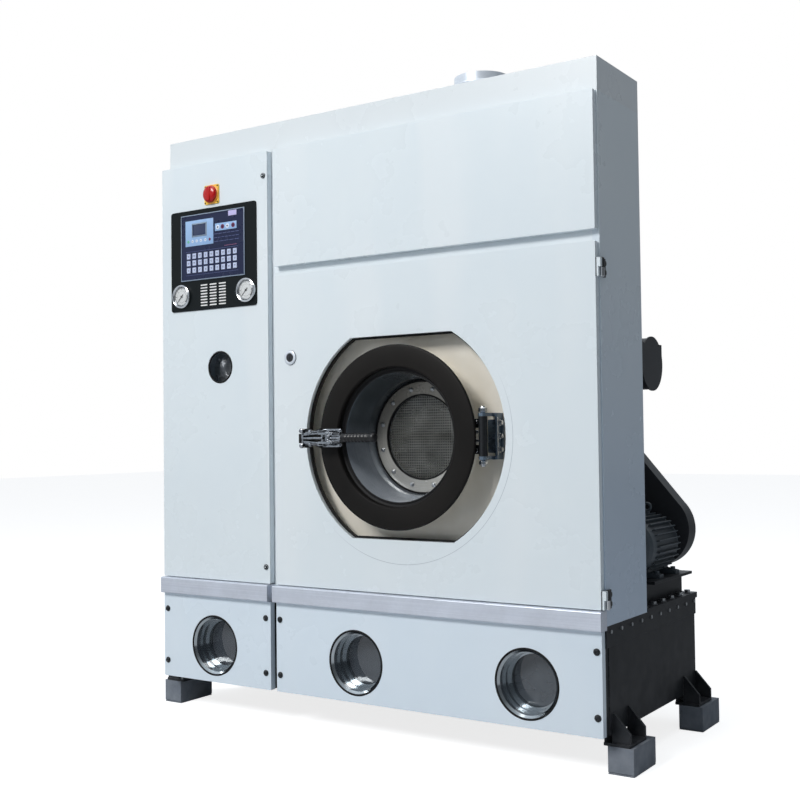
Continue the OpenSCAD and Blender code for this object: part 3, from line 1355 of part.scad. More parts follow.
// Round knob with a grip bar across it
module switch_knob() color("#cf2018") machine() {
  y1 = -cover_t - 8 - seat;
  y0 = -cover_t - knob_out;
  turned(knob_x, switch_z) polygon([
    [0, y1], [knob_r, y1], [knob_r, y0 + 10], [knob_r - 3, y0 + 8], [0, y0 + 8]]);
  upright(y0, 9) translate([knob_x, switch_z]) rounded(2 * knob_r - 3, 14, 4);
}

base_tank();
base_bolts();
foot_pad_front_left();
foot_pad_front_right();
foot_pad_rear_left();
foot_pad_rear_right();
lower_panel_left();
lower_panel_right();
lower_panel_screws();
sight_flange_left();
sight_flange_middle();
sight_flange_right();
sight_glasses();
rail_left();
rail_right();
cabinet_frame();
side_panel_left();
side_panel_right();
hood();
upper_cover();
exhaust_collar();
air_duct();
recovery_fan();
tub();
tub_front_plate();
bearing_housing();
still_vessel();
still_sight_port();
motor_platform();
drive_motor();
belt_guard();
service_hinges();
tub_hinge_bracket();
door_keeper();
control_cover();
control_plate();
keypad();
switch_plate();
gauge_left();
gauge_right();
switch_knob();
gauge_needle_left();
gauge_needle_right();
service_door();
service_lock();
door_ring();
door_bowl();
door_glass();
door_clamp_ring();
door_clamp_bolts();
door_gasket();
door_hinge_arm();
latch_base();
latch_claw();
latch_lever();
latch_grip();
drum();
drum_pulley();
drive_belt();
motor_pulley();
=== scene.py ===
import bpy, math
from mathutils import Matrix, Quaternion, Vector


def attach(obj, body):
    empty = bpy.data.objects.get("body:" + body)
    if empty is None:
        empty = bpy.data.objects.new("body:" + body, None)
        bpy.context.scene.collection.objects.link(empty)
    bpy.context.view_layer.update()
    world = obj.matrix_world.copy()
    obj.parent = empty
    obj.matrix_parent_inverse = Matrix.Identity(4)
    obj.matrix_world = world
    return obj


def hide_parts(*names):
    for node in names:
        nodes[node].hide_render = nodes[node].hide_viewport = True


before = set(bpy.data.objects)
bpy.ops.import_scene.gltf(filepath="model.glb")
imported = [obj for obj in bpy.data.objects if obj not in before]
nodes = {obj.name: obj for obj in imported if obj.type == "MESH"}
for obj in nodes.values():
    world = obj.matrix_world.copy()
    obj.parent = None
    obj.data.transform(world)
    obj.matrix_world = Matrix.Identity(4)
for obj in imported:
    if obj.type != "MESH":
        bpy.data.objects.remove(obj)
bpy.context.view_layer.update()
bpy.ops.object.select_all(action="DESELECT")
print("frame loaded", len(nodes), "nodes")

cameraSet = {"place": (1.9287, -2.963, 0.8587), "yaw": 33.702, "pitch": 1.801, "roll": -0.691, "lens": 51.349}


def addCamera(c):
    bpy.ops.object.camera_add(location=c["place"])
    cam = bpy.context.object
    cam.name = "photoCamera"
    yaw, pitch = math.radians(c["yaw"]), math.radians(c["pitch"])
    look = Vector((-math.sin(yaw) * math.cos(pitch), math.cos(yaw) * math.cos(pitch), math.sin(pitch)))
    cam.rotation_mode = "QUATERNION"
    cam.rotation_quaternion = look.to_track_quat("-Z", "Y") @ Quaternion((0, 0, 1), math.radians(c["roll"]))
    cam.data.lens = c["lens"]
    cam.data.sensor_width = 36
    cam.data.clip_start, cam.data.clip_end = 0.05, 60
    bpy.context.scene.camera = cam


addCamera(cameraSet)
bpy.context.scene.view_settings.view_transform = "Standard"
print("camera set")

# colours are written as they look on a screen


def tint(r, g, b):
    return tuple((v / 255 / 12.92) if v <= 10 else ((v / 255 + 0.055) / 1.055) ** 2.4 for v in (r, g, b)) + (1.0,)


# shared effects: each is one node group, placed in the finishes with its own values


def groupShell(name, inputs, outputs):
    tree = bpy.data.node_groups.new(name, "ShaderNodeTree")
    for label, kind, value in inputs:
        s = tree.interface.new_socket(label, in_out="INPUT", socket_type=kind)
        if value is not None:
            s.default_value = value
    for label, kind in outputs:
        tree.interface.new_socket(label, in_out="OUTPUT", socket_type=kind)
    return tree, tree.nodes.new("NodeGroupInput"), tree.nodes.new("NodeGroupOutput")


def addNode(tree, kind, values=None, links=None, **props):
    n = tree.nodes.new(kind)
    for k, v in props.items():
        setattr(n, k, v)
    for k, v in (values or {}).items():
        n.inputs[k].default_value = v
    for k, v in (links or {}).items():
        tree.links.new(v, n.inputs[k])
    return n


def math2(tree, kind, a, b=None):  # one math node on two numbers or sockets
    n = tree.nodes.new("ShaderNodeMath")
    n.operation = kind
    for i, v in enumerate((a, b)):
        if v is None:
            continue
        if hasattr(v, "is_output"):
            tree.links.new(v, n.inputs[i])
        else:
            n.inputs[i].default_value = v
    return n.outputs["Value"]


def ramp(tree, value, lo, hi, a=0.0, b=1.0):  # value from lo..hi to a..b, held at the ends
    n = addNode(tree, "ShaderNodeMapRange", {"From Min": lo, "From Max": hi, "To Min": a, "To Max": b},
                {"Value": value})
    return n.outputs["Result"]


def vec(tree, kind, a, b=None):  # one vector math node on two vectors or sockets
    n = tree.nodes.new("ShaderNodeVectorMath")
    n.operation = kind
    for i, v in enumerate((a, b)):
        if hasattr(v, "is_output"):
            tree.links.new(v, n.inputs[i])
        elif v is not None:
            n.inputs[i].default_value = v
    return n.outputs["Value" if kind in ("LENGTH", "DOT_PRODUCT") else "Vector"]


def objectPlace(tree):  # the place on the object
    return addNode(tree, "ShaderNodeTexCoord").outputs["Object"]


def split(tree, v):
    return addNode(tree, "ShaderNodeSeparateXYZ", None, {"Vector": v}).outputs


def noise(tree, at, values, **links):
    return addNode(tree, "ShaderNodeTexNoise", values, {"Vector": at, **links}).outputs["Fac"]


def makeCloudGroup():  # uneven tone at two sizes
    t, gi, go = groupShell("cloudTone", [("Scale", "NodeSocketFloat", 3.0), ("Fine", "NodeSocketFloat", 60.0),
                                         ("Fine Share", "NodeSocketFloat", 0.3)], [("Mask", "NodeSocketFloat")])
    at = objectPlace(t)
    a = noise(t, at, {"Detail": 3.0}, Scale=gi.outputs["Scale"])
    b = noise(t, at, {"Detail": 4.0}, Scale=gi.outputs["Fine"])
    m = addNode(t, "ShaderNodeMix", None, {"Factor": gi.outputs["Fine Share"], "A": a, "B": b}, data_type="FLOAT")
    t.links.new(ramp(t, m.outputs["Result"], 0.3, 0.7), go.inputs["Mask"])
    return t


def makeBrushGroup():  # straight grain along one direction
    t, gi, go = groupShell("brushGrain", [("Stretch", "NodeSocketVector", (3, 300, 900))],
                           [("Mask", "NodeSocketFloat")])
    a = noise(t, vec(t, "MULTIPLY", objectPlace(t), gi.outputs["Stretch"]), {"Scale": 1.0, "Detail": 3.0})
    t.links.new(ramp(t, a, 0.32, 0.68), go.inputs["Mask"])
    return t


def makeTurnedGroup():  # fine rings round an axis along Y
    t, gi, go = groupShell("turnedGrain",
                           [("Centre", "NodeSocketVector", (0, 0, 0)), ("Lines", "NodeSocketFloat", 700.0)],
                           [("Mask", "NodeSocketFloat")])
    off = vec(t, "SUBTRACT", objectPlace(t), gi.outputs["Centre"])
    radius = vec(t, "LENGTH", vec(t, "MULTIPLY", off, (1, 0, 1)))
    w = math2(t, "MULTIPLY", math2(t, "ADD", radius, split(t, off)["Y"]), gi.outputs["Lines"])
    a = addNode(t, "ShaderNodeTexNoise", {"Scale": 1.0, "Detail": 2.0}, {"W": w}, noise_dimensions="1D")
    t.links.new(ramp(t, a.outputs["Fac"], 0.3, 0.7), go.inputs["Mask"])
    return t


def makeEdgeGroup():  # where a corner turns, for wear and for a softened edge
    t, gi, go = groupShell("softEdge", [("Radius", "NodeSocketFloat", 0.001), ("Break", "NodeSocketFloat", 90.0)],
                           [("Mask", "NodeSocketFloat"), ("Normal", "NodeSocketVector")])
    bv = addNode(t, "ShaderNodeBevel", None, {"Radius": gi.outputs["Radius"]}, samples=4)
    ge = addNode(t, "ShaderNodeNewGeometry")
    ed = ramp(t, vec(t, "DOT_PRODUCT", bv.outputs["Normal"], ge.outputs["Normal"]), 0.995, 0.8)
    uneven = noise(t, objectPlace(t), {"Detail": 4.0}, Scale=gi.outputs["Break"])
    t.links.new(math2(t, "MULTIPLY", ed, ramp(t, uneven, 0.42, 0.62)), go.inputs["Mask"])
    t.links.new(bv.outputs["Normal"], go.inputs["Normal"])
    return t


def makeDustGroup():  # thin dust that gathers on upward faces and low down
    t, gi, go = groupShell("dustFilm", [("Amount", "NodeSocketFloat", 0.3), ("Low", "NodeSocketFloat", 0.1),
                                        ("High", "NodeSocketFloat", 0.6)], [("Mask", "NodeSocketFloat")])
    ge = addNode(t, "ShaderNodeNewGeometry")
    at = objectPlace(t)
    lo = addNode(t, "ShaderNodeMapRange", {"To Min": 0.6, "To Max": 0.0}, {"Value": split(t, at)["Z"],
                 "From Min": gi.outputs["Low"], "From Max": gi.outputs["High"]})
    mx = math2(t, "MAXIMUM", ramp(t, split(t, ge.outputs["Normal"])["Z"], 0.4, 1.0), lo.outputs["Result"])
    a = math2(t, "MULTIPLY", mx, ramp(t, noise(t, at, {"Scale": 26.0, "Detail": 6.0}), 0.35, 0.75))
    t.links.new(math2(t, "MULTIPLY", a, gi.outputs["Amount"]), go.inputs["Mask"])
    return t


def makeReflectionStreakGroup():  # painted reflection: broad upright lighter streaks on the sheet metal, standing in for soft window reflections
    t, gi, go = groupShell("reflectionStreaks", [("Amount", "NodeSocketFloat", 0.4)], [("Mask", "NodeSocketFloat")])
    a = noise(t, vec(t, "MULTIPLY", objectPlace(t), (5.5, 5.5, 1.3)), {"Scale": 1.0, "Detail": 2.0, "Roughness": 0.4})
    t.links.new(math2(t, "MULTIPLY", ramp(t, a, 0.5, 0.66), gi.outputs["Amount"]), go.inputs["Mask"])
    return t


cloudTone, brushGrain, turnedGrain = makeCloudGroup(), makeBrushGroup(), makeTurnedGroup()
softEdge, dustFilm, reflectionStreaks = makeEdgeGroup(), makeDustGroup(), makeReflectionStreakGroup()


def placeGroup(tree, group, values=None):
    n = tree.nodes.new("ShaderNodeGroup")
    n.node_tree = group
    for k, v in (values or {}).items():
        n.inputs[k].default_value = v
    return n


def mixColour(tree, fac, a, b):
    n = tree.nodes.new("ShaderNodeMix")
    n.data_type = "RGBA"
    for key, v in ((0, fac), (6, a), (7, b)):
        if hasattr(v, "is_output"):
            tree.links.new(v, n.inputs[key])
        else:
            n.inputs[key].default_value = v
    return n.outputs[2]


def finishMaterial(name, f):
    m = bpy.data.materials.new(name)
    m.use_nodes = True
    t = m.node_tree
    p = t.nodes["Principled BSDF"]
    p.inputs["Metallic"].default_value = f.get("metal", 0.0)
    p.inputs["IOR"].default_value = 1.45
    p.inputs["Specular IOR Level"].default_value = f.get("shine", 0.5)
    if f.get("coat"):
        p.inputs["Coat Weight"].default_value = f["coat"]
        p.inputs["Coat Roughness"].default_value = f.get("coatRough", 0.05)
    kind = f.get("grain", "cloud")
    if kind == "brush":
        g = placeGroup(t, brushGrain, {"Stretch": f.get("stretch", (3, 300, 900))})
    elif kind == "turned":
        g = placeGroup(t, turnedGrain, {"Centre": f["centre"], "Lines": f.get("lines", 700.0)})
    else:
        g = placeGroup(t, cloudTone, {"Scale": f.get("scale", 3.0), "Fine": f.get("fine", 220.0),
                                      "Fine Share": f.get("share", 0.35)})
    colour = mixColour(t, g.outputs["Mask"], f["dark"], f["light"])
    tone = placeGroup(t, cloudTone,
                      {"Scale": f.get("patch", 1.7), "Fine": f.get("patch", 1.7) * 9, "Fine Share": 0.25})
    if f.get("patchColour"):
        colour = mixColour(t, math2(t, "MULTIPLY", tone.outputs["Mask"], f.get("patchShare", 0.5)), colour,
                           f["patchColour"])
    # painted reflection: lighter upright streaks mixed into the colour
    if f.get("smudge"):
        sm = placeGroup(t, reflectionStreaks, {"Amount": f["smudge"]})
        colour = mixColour(t, sm.outputs["Mask"], colour, f["smudgeColour"])
    if f.get("dust"):
        d = placeGroup(t, dustFilm, {"Amount": f["dust"], "Low": f.get("low", 0.1), "High": f.get("high", 0.5)})
        colour = mixColour(t, d.outputs["Mask"], colour, f.get("dustColour", tint(168, 164, 156)))
    # painted shade: the colour is mixed towards a darker shade colour along the height of the part
    if f.get("fall"):
        first, last, most = f["fall"]
        colour = mixColour(t, ramp(t, split(t, objectPlace(t))["Z"], first, last, 0.0, most), colour, f["fallColour"])
    normal = None
    if f.get("edge"):
        e = placeGroup(t, softEdge, {"Radius": f["edge"], "Break": 90.0})
        normal = e.outputs["Normal"]
        if f.get("wear"):
            colour = mixColour(t, math2(t, "MULTIPLY", e.outputs["Mask"], f["wear"]), colour,
                               f.get("wearColour", tint(120, 122, 124)))
    lo, hi = f.get("rough", (0.3, 0.4))
    t.links.new(ramp(t, tone.outputs["Mask"], 0.0, 1.0, lo, hi), p.inputs["Roughness"])
    b = addNode(t, "ShaderNodeBump", {"Strength": f.get("bump", 0.1), "Distance": f.get("deep", 0.0004)},
                {"Height": g.outputs["Mask"]})
    if normal is not None:
        t.links.new(normal, b.inputs["Normal"])
    t.links.new(b.outputs["Normal"], p.inputs["Normal"])
    t.links.new(colour, p.inputs["Base Color"])
    return m


# one dictionary for each finish of the machine; shine is the level of plain reflection

drumCentre = (0.161, 0.0, 0.855)
sightCentres = [(-0.544, 0.0, 0.213), (-0.002, 0.0, 0.213), (0.544, 0.0, 0.213)]


def coating(light, dark, patchColour=None, **more):
    f = {"light": tint(*light), "dark": tint(*dark), **more}
    if patchColour:
        f["patchColour"] = tint(*patchColour)
    return f


cladding = {"rough": (0.24, 0.32), "fine": 900.0, "share": 0.5, "bump": 0.05, "deep": 0.0001, "edge": 0.0012,
            "coat": 0.2}
finishes = {
    "palePaint": coating((224, 233, 238), (221, 231, 237), (213, 225, 234), patchShare=0.5, smudge=0.35,
                         smudgeColour=tint(231, 237, 241), coatRough=0.08, **cladding),
    # painted shade: the right side panel darkens and turns bluer towards the bottom
    "sidePaint": coating((224, 233, 238), (221, 231, 237), (213, 225, 234), patchShare=0.5, fall=(1.5, 0.45, 0.8),
                         fallColour=tint(178, 198, 222), **cladding),
    # painted shade: a slightly cooler, bluer copy of the cover paint for the lower panels
    "lowerPaint": coating((221, 233, 243), (217, 230, 241), (210, 224, 237), patchShare=0.5, smudge=0.3,
                          smudgeColour=tint(228, 237, 245), coatRough=0.08, **cladding),
    # painted shade: a slightly darker copy of the cover paint for the hood
    "hoodPaint": coating((222, 229, 233), (219, 226, 231), (211, 220, 226), patchShare=0.4, **cladding),
    "tankPaint": coating((33, 35, 39), (24, 26, 30), (42, 45, 50), rough=(0.36, 0.5), shine=0.2, fine=160.0,
                         bump=0.3, edge=0.0016, wear=0.5, dust=0.25, high=0.4, dustColour=tint(120, 122, 124)),
    "footPaint": coating((116, 124, 135), (94, 101, 112), (128, 134, 143), rough=(0.5, 0.7), shine=0.3, fine=120.0,
                         bump=0.5, edge=0.003, wear=0.5, wearColour=tint(150, 152, 156), dust=0.55, low=0.0,
                         high=0.15, dustColour=tint(176, 182, 190)),
    "satinBlack": coating((52, 54, 58), (40, 42, 46), (62, 64, 68), rough=(0.34, 0.46), shine=0.25, fine=300.0,
                          bump=0.15, edge=0.0012, wear=0.25, dust=0.15),
    "ringBlack": coating((23, 22, 21), (17, 16, 16), (40, 37, 35), patchShare=0.5, rough=(0.42, 0.5), shine=0.14,
                         fine=700.0, bump=0.12, deep=0.0002, edge=0.001),
    "castGrey": coating((66, 73, 80), (48, 54, 60), (80, 88, 95), rough=(0.45, 0.6), shine=0.35, fine=260.0,
                        bump=0.45, edge=0.001, wear=0.35, dust=0.3),
    "motorPaint": coating((84, 93, 101), (62, 70, 77), (98, 107, 114), rough=(0.4, 0.52), shine=0.4, fine=260.0,
                          bump=0.35, edge=0.001, wear=0.3, dust=0.35, high=0.3),
    # painted light: the frame is a touch paler than the covers so the shaded grooves between them read pale
    "frameGrey": coating((230, 238, 243), (222, 231, 237), rough=(0.4, 0.5), bump=0.15),
    "brushedSteel": coating((196, 198, 200), (158, 161, 165), metal=1.0, grain="brush", rough=(0.22, 0.34),
                            bump=0.12, deep=0.0002),
    # painted light: the drum sheet is near white and only partly metallic, to lift the dim inside seen through the
    # glass
    "drumSheet": coating((244, 243, 238), (228, 227, 222), (196, 194, 186), metal=0.3, grain="brush",
                         stretch=(90, 90, 5), patchShare=0.4, patch=8.0, rough=(0.25, 0.36), bump=0.1),
    # painted reflection: the steel front plate is a pale cream, mostly non-metal, with tan patches standing in for
    # the warm room it reflects
    "plateReflectionSheet": coating((252, 250, 243), (246, 242, 232), (214, 202, 178), metal=0.12, grain="brush",
                         stretch=(14, 3, 1.6), patchShare=0.5, patch=2.6, rough=(0.28, 0.4), bump=0.05,
                         deep=0.0002),
    "tubSteel": coating((170, 172, 174), (136, 139, 143), metal=1.0, grain="brush", stretch=(6, 420, 6),
                        rough=(0.3, 0.42), bump=0.12, dust=0.3),
    # painted shade: the spun bowl darkens towards its top
    "turnedDoor": coating((220, 227, 236), (168, 177, 188), (120, 130, 142), metal=0.55, grain="turned",
                          centre=drumCentre, patchShare=0.5, patch=6.0, rough=(0.16, 0.26), bump=0.1, deep=0.00015,
                          fall=(0.76, 0.9, 0.9), fallColour=tint(56, 62, 65)),
    # painted shade: the clamp ring darkens towards its top
    "clampSteel": coating((204, 203, 198), (176, 174, 168), (132, 128, 120), metal=0.45, grain="turned",
                          centre=drumCentre, patchShare=0.4, patch=7.0, rough=(0.2, 0.3), bump=0.1, deep=0.00015,
                          fall=(0.8, 0.96, 0.7), fallColour=tint(104, 98, 88)),
    "galvanised": coating((224, 231, 240), (202, 210, 220), metal=0.35, scale=22.0, fine=90.0, share=0.4,
                          rough=(0.28, 0.42), bump=0.1, edge=0.0008),
    "railSteel": coating((222, 228, 240), (208, 215, 228), (172, 176, 186), metal=0.5, grain="brush",
                         stretch=(2, 300, 420), patchShare=0.45, patch=9.0, rough=(0.32, 0.44), bump=0.1,
                         edge=0.001, dust=0.2, low=0.3, high=0.45, dustColour=tint(148, 150, 154)),
    "chrome": coating((220, 222, 225), (186, 189, 193), metal=1.0, fine=80.0, rough=(0.08, 0.16), bump=0.05,
                      edge=0.0008),
    "latchSteel": coating((188, 191, 196), (104, 108, 114), metal=1.0, scale=60.0, fine=160.0, rough=(0.1, 0.2),
                          bump=0.08, edge=0.0007),
    "plateSlate": coating((112, 128, 144), (90, 106, 122), metal=0.6, scale=14.0, fine=120.0, rough=(0.24, 0.36),
                          bump=0.12, edge=0.0008, wear=0.5, wearColour=tint(190, 196, 204)),
    "zinc": coating((186, 188, 190), (130, 134, 138), metal=0.9, scale=40.0, rough=(0.25, 0.4), bump=0.15,
                    edge=0.0006),
    "darkSteel": coating((58, 60, 63), (36, 38, 41), metal=0.7, rough=(0.3, 0.45), bump=0.2, edge=0.0008, wear=0.6,
                         wearColour=tint(150, 152, 154)),
    "rubberBlack": coating((22, 22, 24), (15, 15, 17), shine=0.25, rough=(0.55, 0.7), fine=500.0, bump=0.35,
                           edge=0.0006),
    "gripRubber": coating((26, 26, 28), (16, 16, 18), shine=0.45, rough=(0.28, 0.42), fine=400.0, bump=0.25,
                          edge=0.0006),
    "panelBlack": coating((22, 27, 29), (16, 21, 23), shine=0.14, rough=(0.34, 0.42), fine=900.0, bump=0.2,
                          deep=0.0002, edge=0.0006),
    "membraneBlue": coating((26, 34, 66), (22, 29, 58), (34, 42, 76), patchShare=0.4, patch=6.0, shine=0.35,
                            rough=(0.24, 0.32), fine=700.0, bump=0.08, deep=0.0001, edge=0.0004),
    "membraneSky": coating((150, 184, 226), (142, 176, 220), (166, 196, 232), patchShare=0.5, patch=8.0, shine=0.35,
                           rough=(0.24, 0.32), fine=700.0, bump=0.06, deep=0.0001),
    "keyLilac": coating((200, 211, 238), (190, 201, 230), (178, 190, 222), patchShare=0.4, patch=30.0, shine=0.4,
                        rough=(0.24, 0.34), fine=700.0, bump=0.06, deep=0.0001),
    "tagLilac": coating((196, 190, 236), (184, 178, 226), (206, 202, 240), patch=20.0, shine=0.35,
                        rough=(0.26, 0.34), bump=0.06),
    "lineBlue": coating((84, 94, 138), (74, 84, 128), patch=20.0, rough=(0.3, 0.4), bump=0.05),
    "lineDark": coating((24, 27, 58), (18, 21, 48), patch=20.0, rough=(0.3, 0.4), bump=0.05),
    "lineRose": coating((150, 96, 130), (138, 84, 120), patch=20.0, rough=(0.3, 0.4), bump=0.05),
    "iconWhite": coating((226, 234, 248), (214, 224, 242), patch=30.0, rough=(0.26, 0.36), bump=0.05),
    "iconGreen": coating((120, 196, 168), (104, 180, 152), patch=30.0, rough=(0.26, 0.36), bump=0.05),
    "iconRed": coating((112, 28, 74), (94, 20, 62), patch=30.0, rough=(0.26, 0.36), bump=0.05),
    "bezelGrey": coating((140, 156, 176), (124, 140, 162), patch=12.0, rough=(0.3, 0.4), bump=0.06, edge=0.0004),
    "screenDark": coating((46, 56, 88), (38, 48, 78), (58, 70, 106), patch=14.0, shine=0.6, rough=(0.08, 0.14),
                          bump=0.02, deep=0.0001),
    # painted light: pure white, paler than the cover paint, to lift the shaded slots
    "slotWhite": coating((254, 254, 254), (248, 250, 252), patch=14.0, rough=(0.4, 0.5), bump=0.04),
    "knobRed": coating((196, 14, 10), (178, 8, 8), (160, 8, 8), patch=12.0, shine=0.4, coat=0.2, rough=(0.2, 0.28),
                       fine=400.0, bump=0.06, edge=0.0012),
    "rimOrange": coating((250, 176, 84), (244, 160, 66), patch=12.0, rough=(0.24, 0.34), bump=0.06, edge=0.0006),
    "plateYellow": coating((252, 214, 96), (246, 202, 78), (238, 190, 70), patch=10.0, rough=(0.26, 0.34),
                           fine=400.0, bump=0.06, edge=0.001),
    "needleBlack": coating((24, 24, 26), (16, 16, 18), rough=(0.3, 0.4), bump=0.05),
}
for i, c in enumerate(sightCentres):
    finishes["turnedSight" + str(i)] = coating(
        (196, 202, 206), (140, 147, 153), (96, 104, 110), metal=1.0, grain="turned", centre=c, lines=900.0, patch=9.0,
        rough=(0.1, 0.2), bump=0.12, deep=0.00015)

finishNodes = {  # each finish and the nodes that have it
    "tankPaint": "base_tank motor_platform",
    "zinc": "base_bolts door_clamp_bolts",
    "footPaint": "foot_pad_front_left foot_pad_front_right foot_pad_rear_left foot_pad_rear_right",
    "lowerPaint": "lower_panel_left lower_panel_right",
    "darkSteel": "lower_panel_screws service_hinges door_keeper service_lock door_hinge_arm",
    "turnedSight0": "sight_flange_left",
    "turnedSight1": "sight_flange_middle",
    "turnedSight2": "sight_flange_right",
    "railSteel": "rail_left rail_right",
    "frameGrey": "cabinet_frame",
    "palePaint": "side_panel_left upper_cover control_cover",
    "sidePaint": "side_panel_right",
    "hoodPaint": "hood",
    "galvanised": "exhaust_collar air_duct",
    "satinBlack": "recovery_fan belt_guard",
    "tubSteel": "tub still_vessel",
    "plateReflectionSheet": "tub_front_plate",
    "castGrey": "bearing_housing drum_pulley motor_pulley",
    "brushedSteel": "still_sight_port",
    "motorPaint": "drive_motor",
    "plateSlate": "tub_hinge_bracket",
    "panelBlack": "control_plate",
    "membraneBlue": "keypad",
    "plateYellow": "switch_plate",
    "chrome": "gauge_left gauge_right",
    "knobRed": "switch_knob",
    "needleBlack": "gauge_needle_left gauge_needle_right",
    "ringBlack": "door_ring",
    "turnedDoor": "door_bowl",
    "clampSteel": "door_clamp_ring",
    "rubberBlack": "door_gasket drive_belt",
    "latchSteel": "latch_base latch_claw latch_lever",
    "gripRubber": "latch_grip",
}
nodeFinish = {node: name for name, group in finishNodes.items() for node in group.split()}

made = {name: finishMaterial(name, f) for name, f in finishes.items()}


def makeGlass(name, g):
    m = bpy.data.materials.new(name)
    m.use_nodes = True
    t = m.node_tree
    p = t.nodes["Principled BSDF"]
    p.inputs["Roughness"].default_value = g["rough"]
    p.inputs["IOR"].default_value = 1.5
    p.inputs["Coat Weight"].default_value = 1.0
    p.inputs["Coat Roughness"].default_value = 0.02
    c = placeGroup(t, cloudTone, {"Scale": 2.2, "Fine": 30.0, "Fine Share": 0.3})
    t.links.new(ramp(t, c.outputs["Mask"], 0.0, 1.0, g["clear"][0], g["clear"][1]), p.inputs["Alpha"])
    t.links.new(mixColour(t, c.outputs["Mask"], g["dark"], g["light"]), p.inputs["Base Color"])
    return m


# painted reflection: pale cloudy patches in the door glass colour
doorGlass = makeGlass("doorGlass",
                      {"rough": 0.03, "clear": (0.03, 0.17), "dark": tint(110, 114, 112),
                       "light": tint(206, 207, 202)})
# painted shade: the sight glasses are a nearly opaque dark grey, standing for the dark still behind them
sightGlass = makeGlass("sightGlass",
                       {"rough": 0.04, "clear": (0.8, 0.9), "dark": tint(64, 70, 78), "light": tint(80, 87, 95)})
gaugeGlass = makeGlass("gaugeGlass",
                       {"rough": 0.02, "clear": (0.04, 0.07), "dark": tint(200, 205, 208),
                        "light": tint(220, 224, 226)})


def overPaint(m):  # a finish's tree, its shader and what feeds its colour
    p = m.node_tree.nodes["Principled BSDF"]
    return m.node_tree, p, p.inputs["Base Color"].links[0].from_socket


def makeServiceDoorPaint(base, creaseShade):  # the cover paint with painted shade along the fine round line pressed beside the cut-out
    m = base.copy()
    m.name = "serviceDoorPaint"
    t, p, link = overPaint(m)
    off = vec(t, "SUBTRACT", objectPlace(t), drumCentre)
    radius = vec(t, "LENGTH", vec(t, "MULTIPLY", off, (1, 0, 1)))
    line = ramp(t, math2(t, "ABSOLUTE", math2(t, "SUBTRACT", radius, creaseShade["radius"])), creaseShade["width"],
                creaseShade["width"] * 0.4)
    # the painted shade is strongest low at the right
    creaseShadeFade = ramp(t, vec(t, "DOT_PRODUCT", off, (0.62, 0, -0.78)), 0.05, 0.2, 0.0, creaseShade["share"])
    t.links.new(mixColour(t, math2(t, "MULTIPLY", line, creaseShadeFade), link, tint(150, 160, 172)), p.inputs["Base Color"])
    return m


made["serviceDoorPaint"] = makeServiceDoorPaint(made["palePaint"], {"radius": 0.354, "width": 0.0011, "share": 0.65})
nodeFinish["service_door"] = "serviceDoorPaint"


def makeDrumSteel(base, hole):  # stainless with rows of small pressed holes on the rear wall and round the side; the holes are dark non-metal dots, painted shade of the gap behind them
    m = base.copy()
    m.name = "drumSteel"
    t, p, link = overPaint(m)
    s = split(t, vec(t, "SUBTRACT", objectPlace(t), drumCentre))
    flat = addNode(t, "ShaderNodeCombineXYZ", None, {"X": s["X"], "Y": s["Z"]})
    along = math2(t, "MULTIPLY", math2(t, "ARCTAN2", s["X"], s["Z"]), hole["drumRadius"])
    wrap = addNode(t, "ShaderNodeCombineXYZ", None, {"X": along, "Y": s["Y"]})
    normal = split(t, addNode(t, "ShaderNodeNewGeometry").outputs["Normal"])
    face = math2(t, "GREATER_THAN", math2(t, "ABSOLUTE", normal["Y"]), 0.7)
    pick = addNode(t, "ShaderNodeMix", None, {"Factor": face, 4: wrap.outputs["Vector"], 5: flat.outputs["Vector"]},
                   data_type="VECTOR")
    vo = addNode(t, "ShaderNodeTexVoronoi", {"Scale": hole["pitch"], "Randomness": 0.0}, {"Vector": pick.outputs[1]},
                 voronoi_dimensions="2D")
    dot = ramp(t, vo.outputs["Distance"], hole["size"] * 1.15, hole["size"] * 0.85)
    # painted shade: dark dots where the holes look into the gap behind
    t.links.new(mixColour(t, dot, link, tint(18, 19, 21)), p.inputs["Base Color"])
    t.links.new(ramp(t, dot, 0.0, 1.0, hole["metal"], 0.0), p.inputs["Metallic"])
    return m


made["drumSteel"] = makeDrumSteel(made["drumSheet"], {"pitch": 115.0, "size": 0.3, "metal": 0.3, "drumRadius": 0.385})
nodeFinish["drum"] = "drumSteel"

for name, finish in nodeFinish.items():
    nodes[name].data.materials.clear()
    nodes[name].data.materials.append(made[finish])
for name, glass in (("door_glass", doorGlass), ("sight_glasses", sightGlass)):
    nodes[name].data.materials.clear()
    nodes[name].data.materials.append(glass)
print("finishes on", len(nodeFinish) + 2, "nodes")

# modelling helpers; lengths are millimetres from the cabinet's front plane, floor and middle

frontY = -0.293
axisTurn = {"x": (0, math.pi / 2, 0), "y": (math.pi / 2, 0, 0), "z": (0, 0, 0)}


def spot(x, y, z):
    return Vector((x / 1000, y / 1000 + frontY, z / 1000))


def pickOnly(*objs):
    if bpy.context.mode != "OBJECT":
        bpy.ops.object.mode_set(mode="OBJECT")
    bpy.ops.object.select_all(action="DESELECT")
    for o in objs:
        o.select_set(True)
    if objs:
        bpy.context.view_layer.objects.active = objs[0]


def settle(o):  # the place goes into the mesh
    pickOnly(o)
    bpy.ops.object.transform_apply(location=True, rotation=True, scale=True)


def roundEdges(o, width, steps=2):
    pickOnly(o)
    m = o.modifiers.new("edge", "BEVEL")
    m.width, m.segments, m.limit_method, m.angle_limit = width / 1000, steps, "ANGLE", math.radians(35)
    bpy.ops.object.modifier_apply(modifier=m.name)


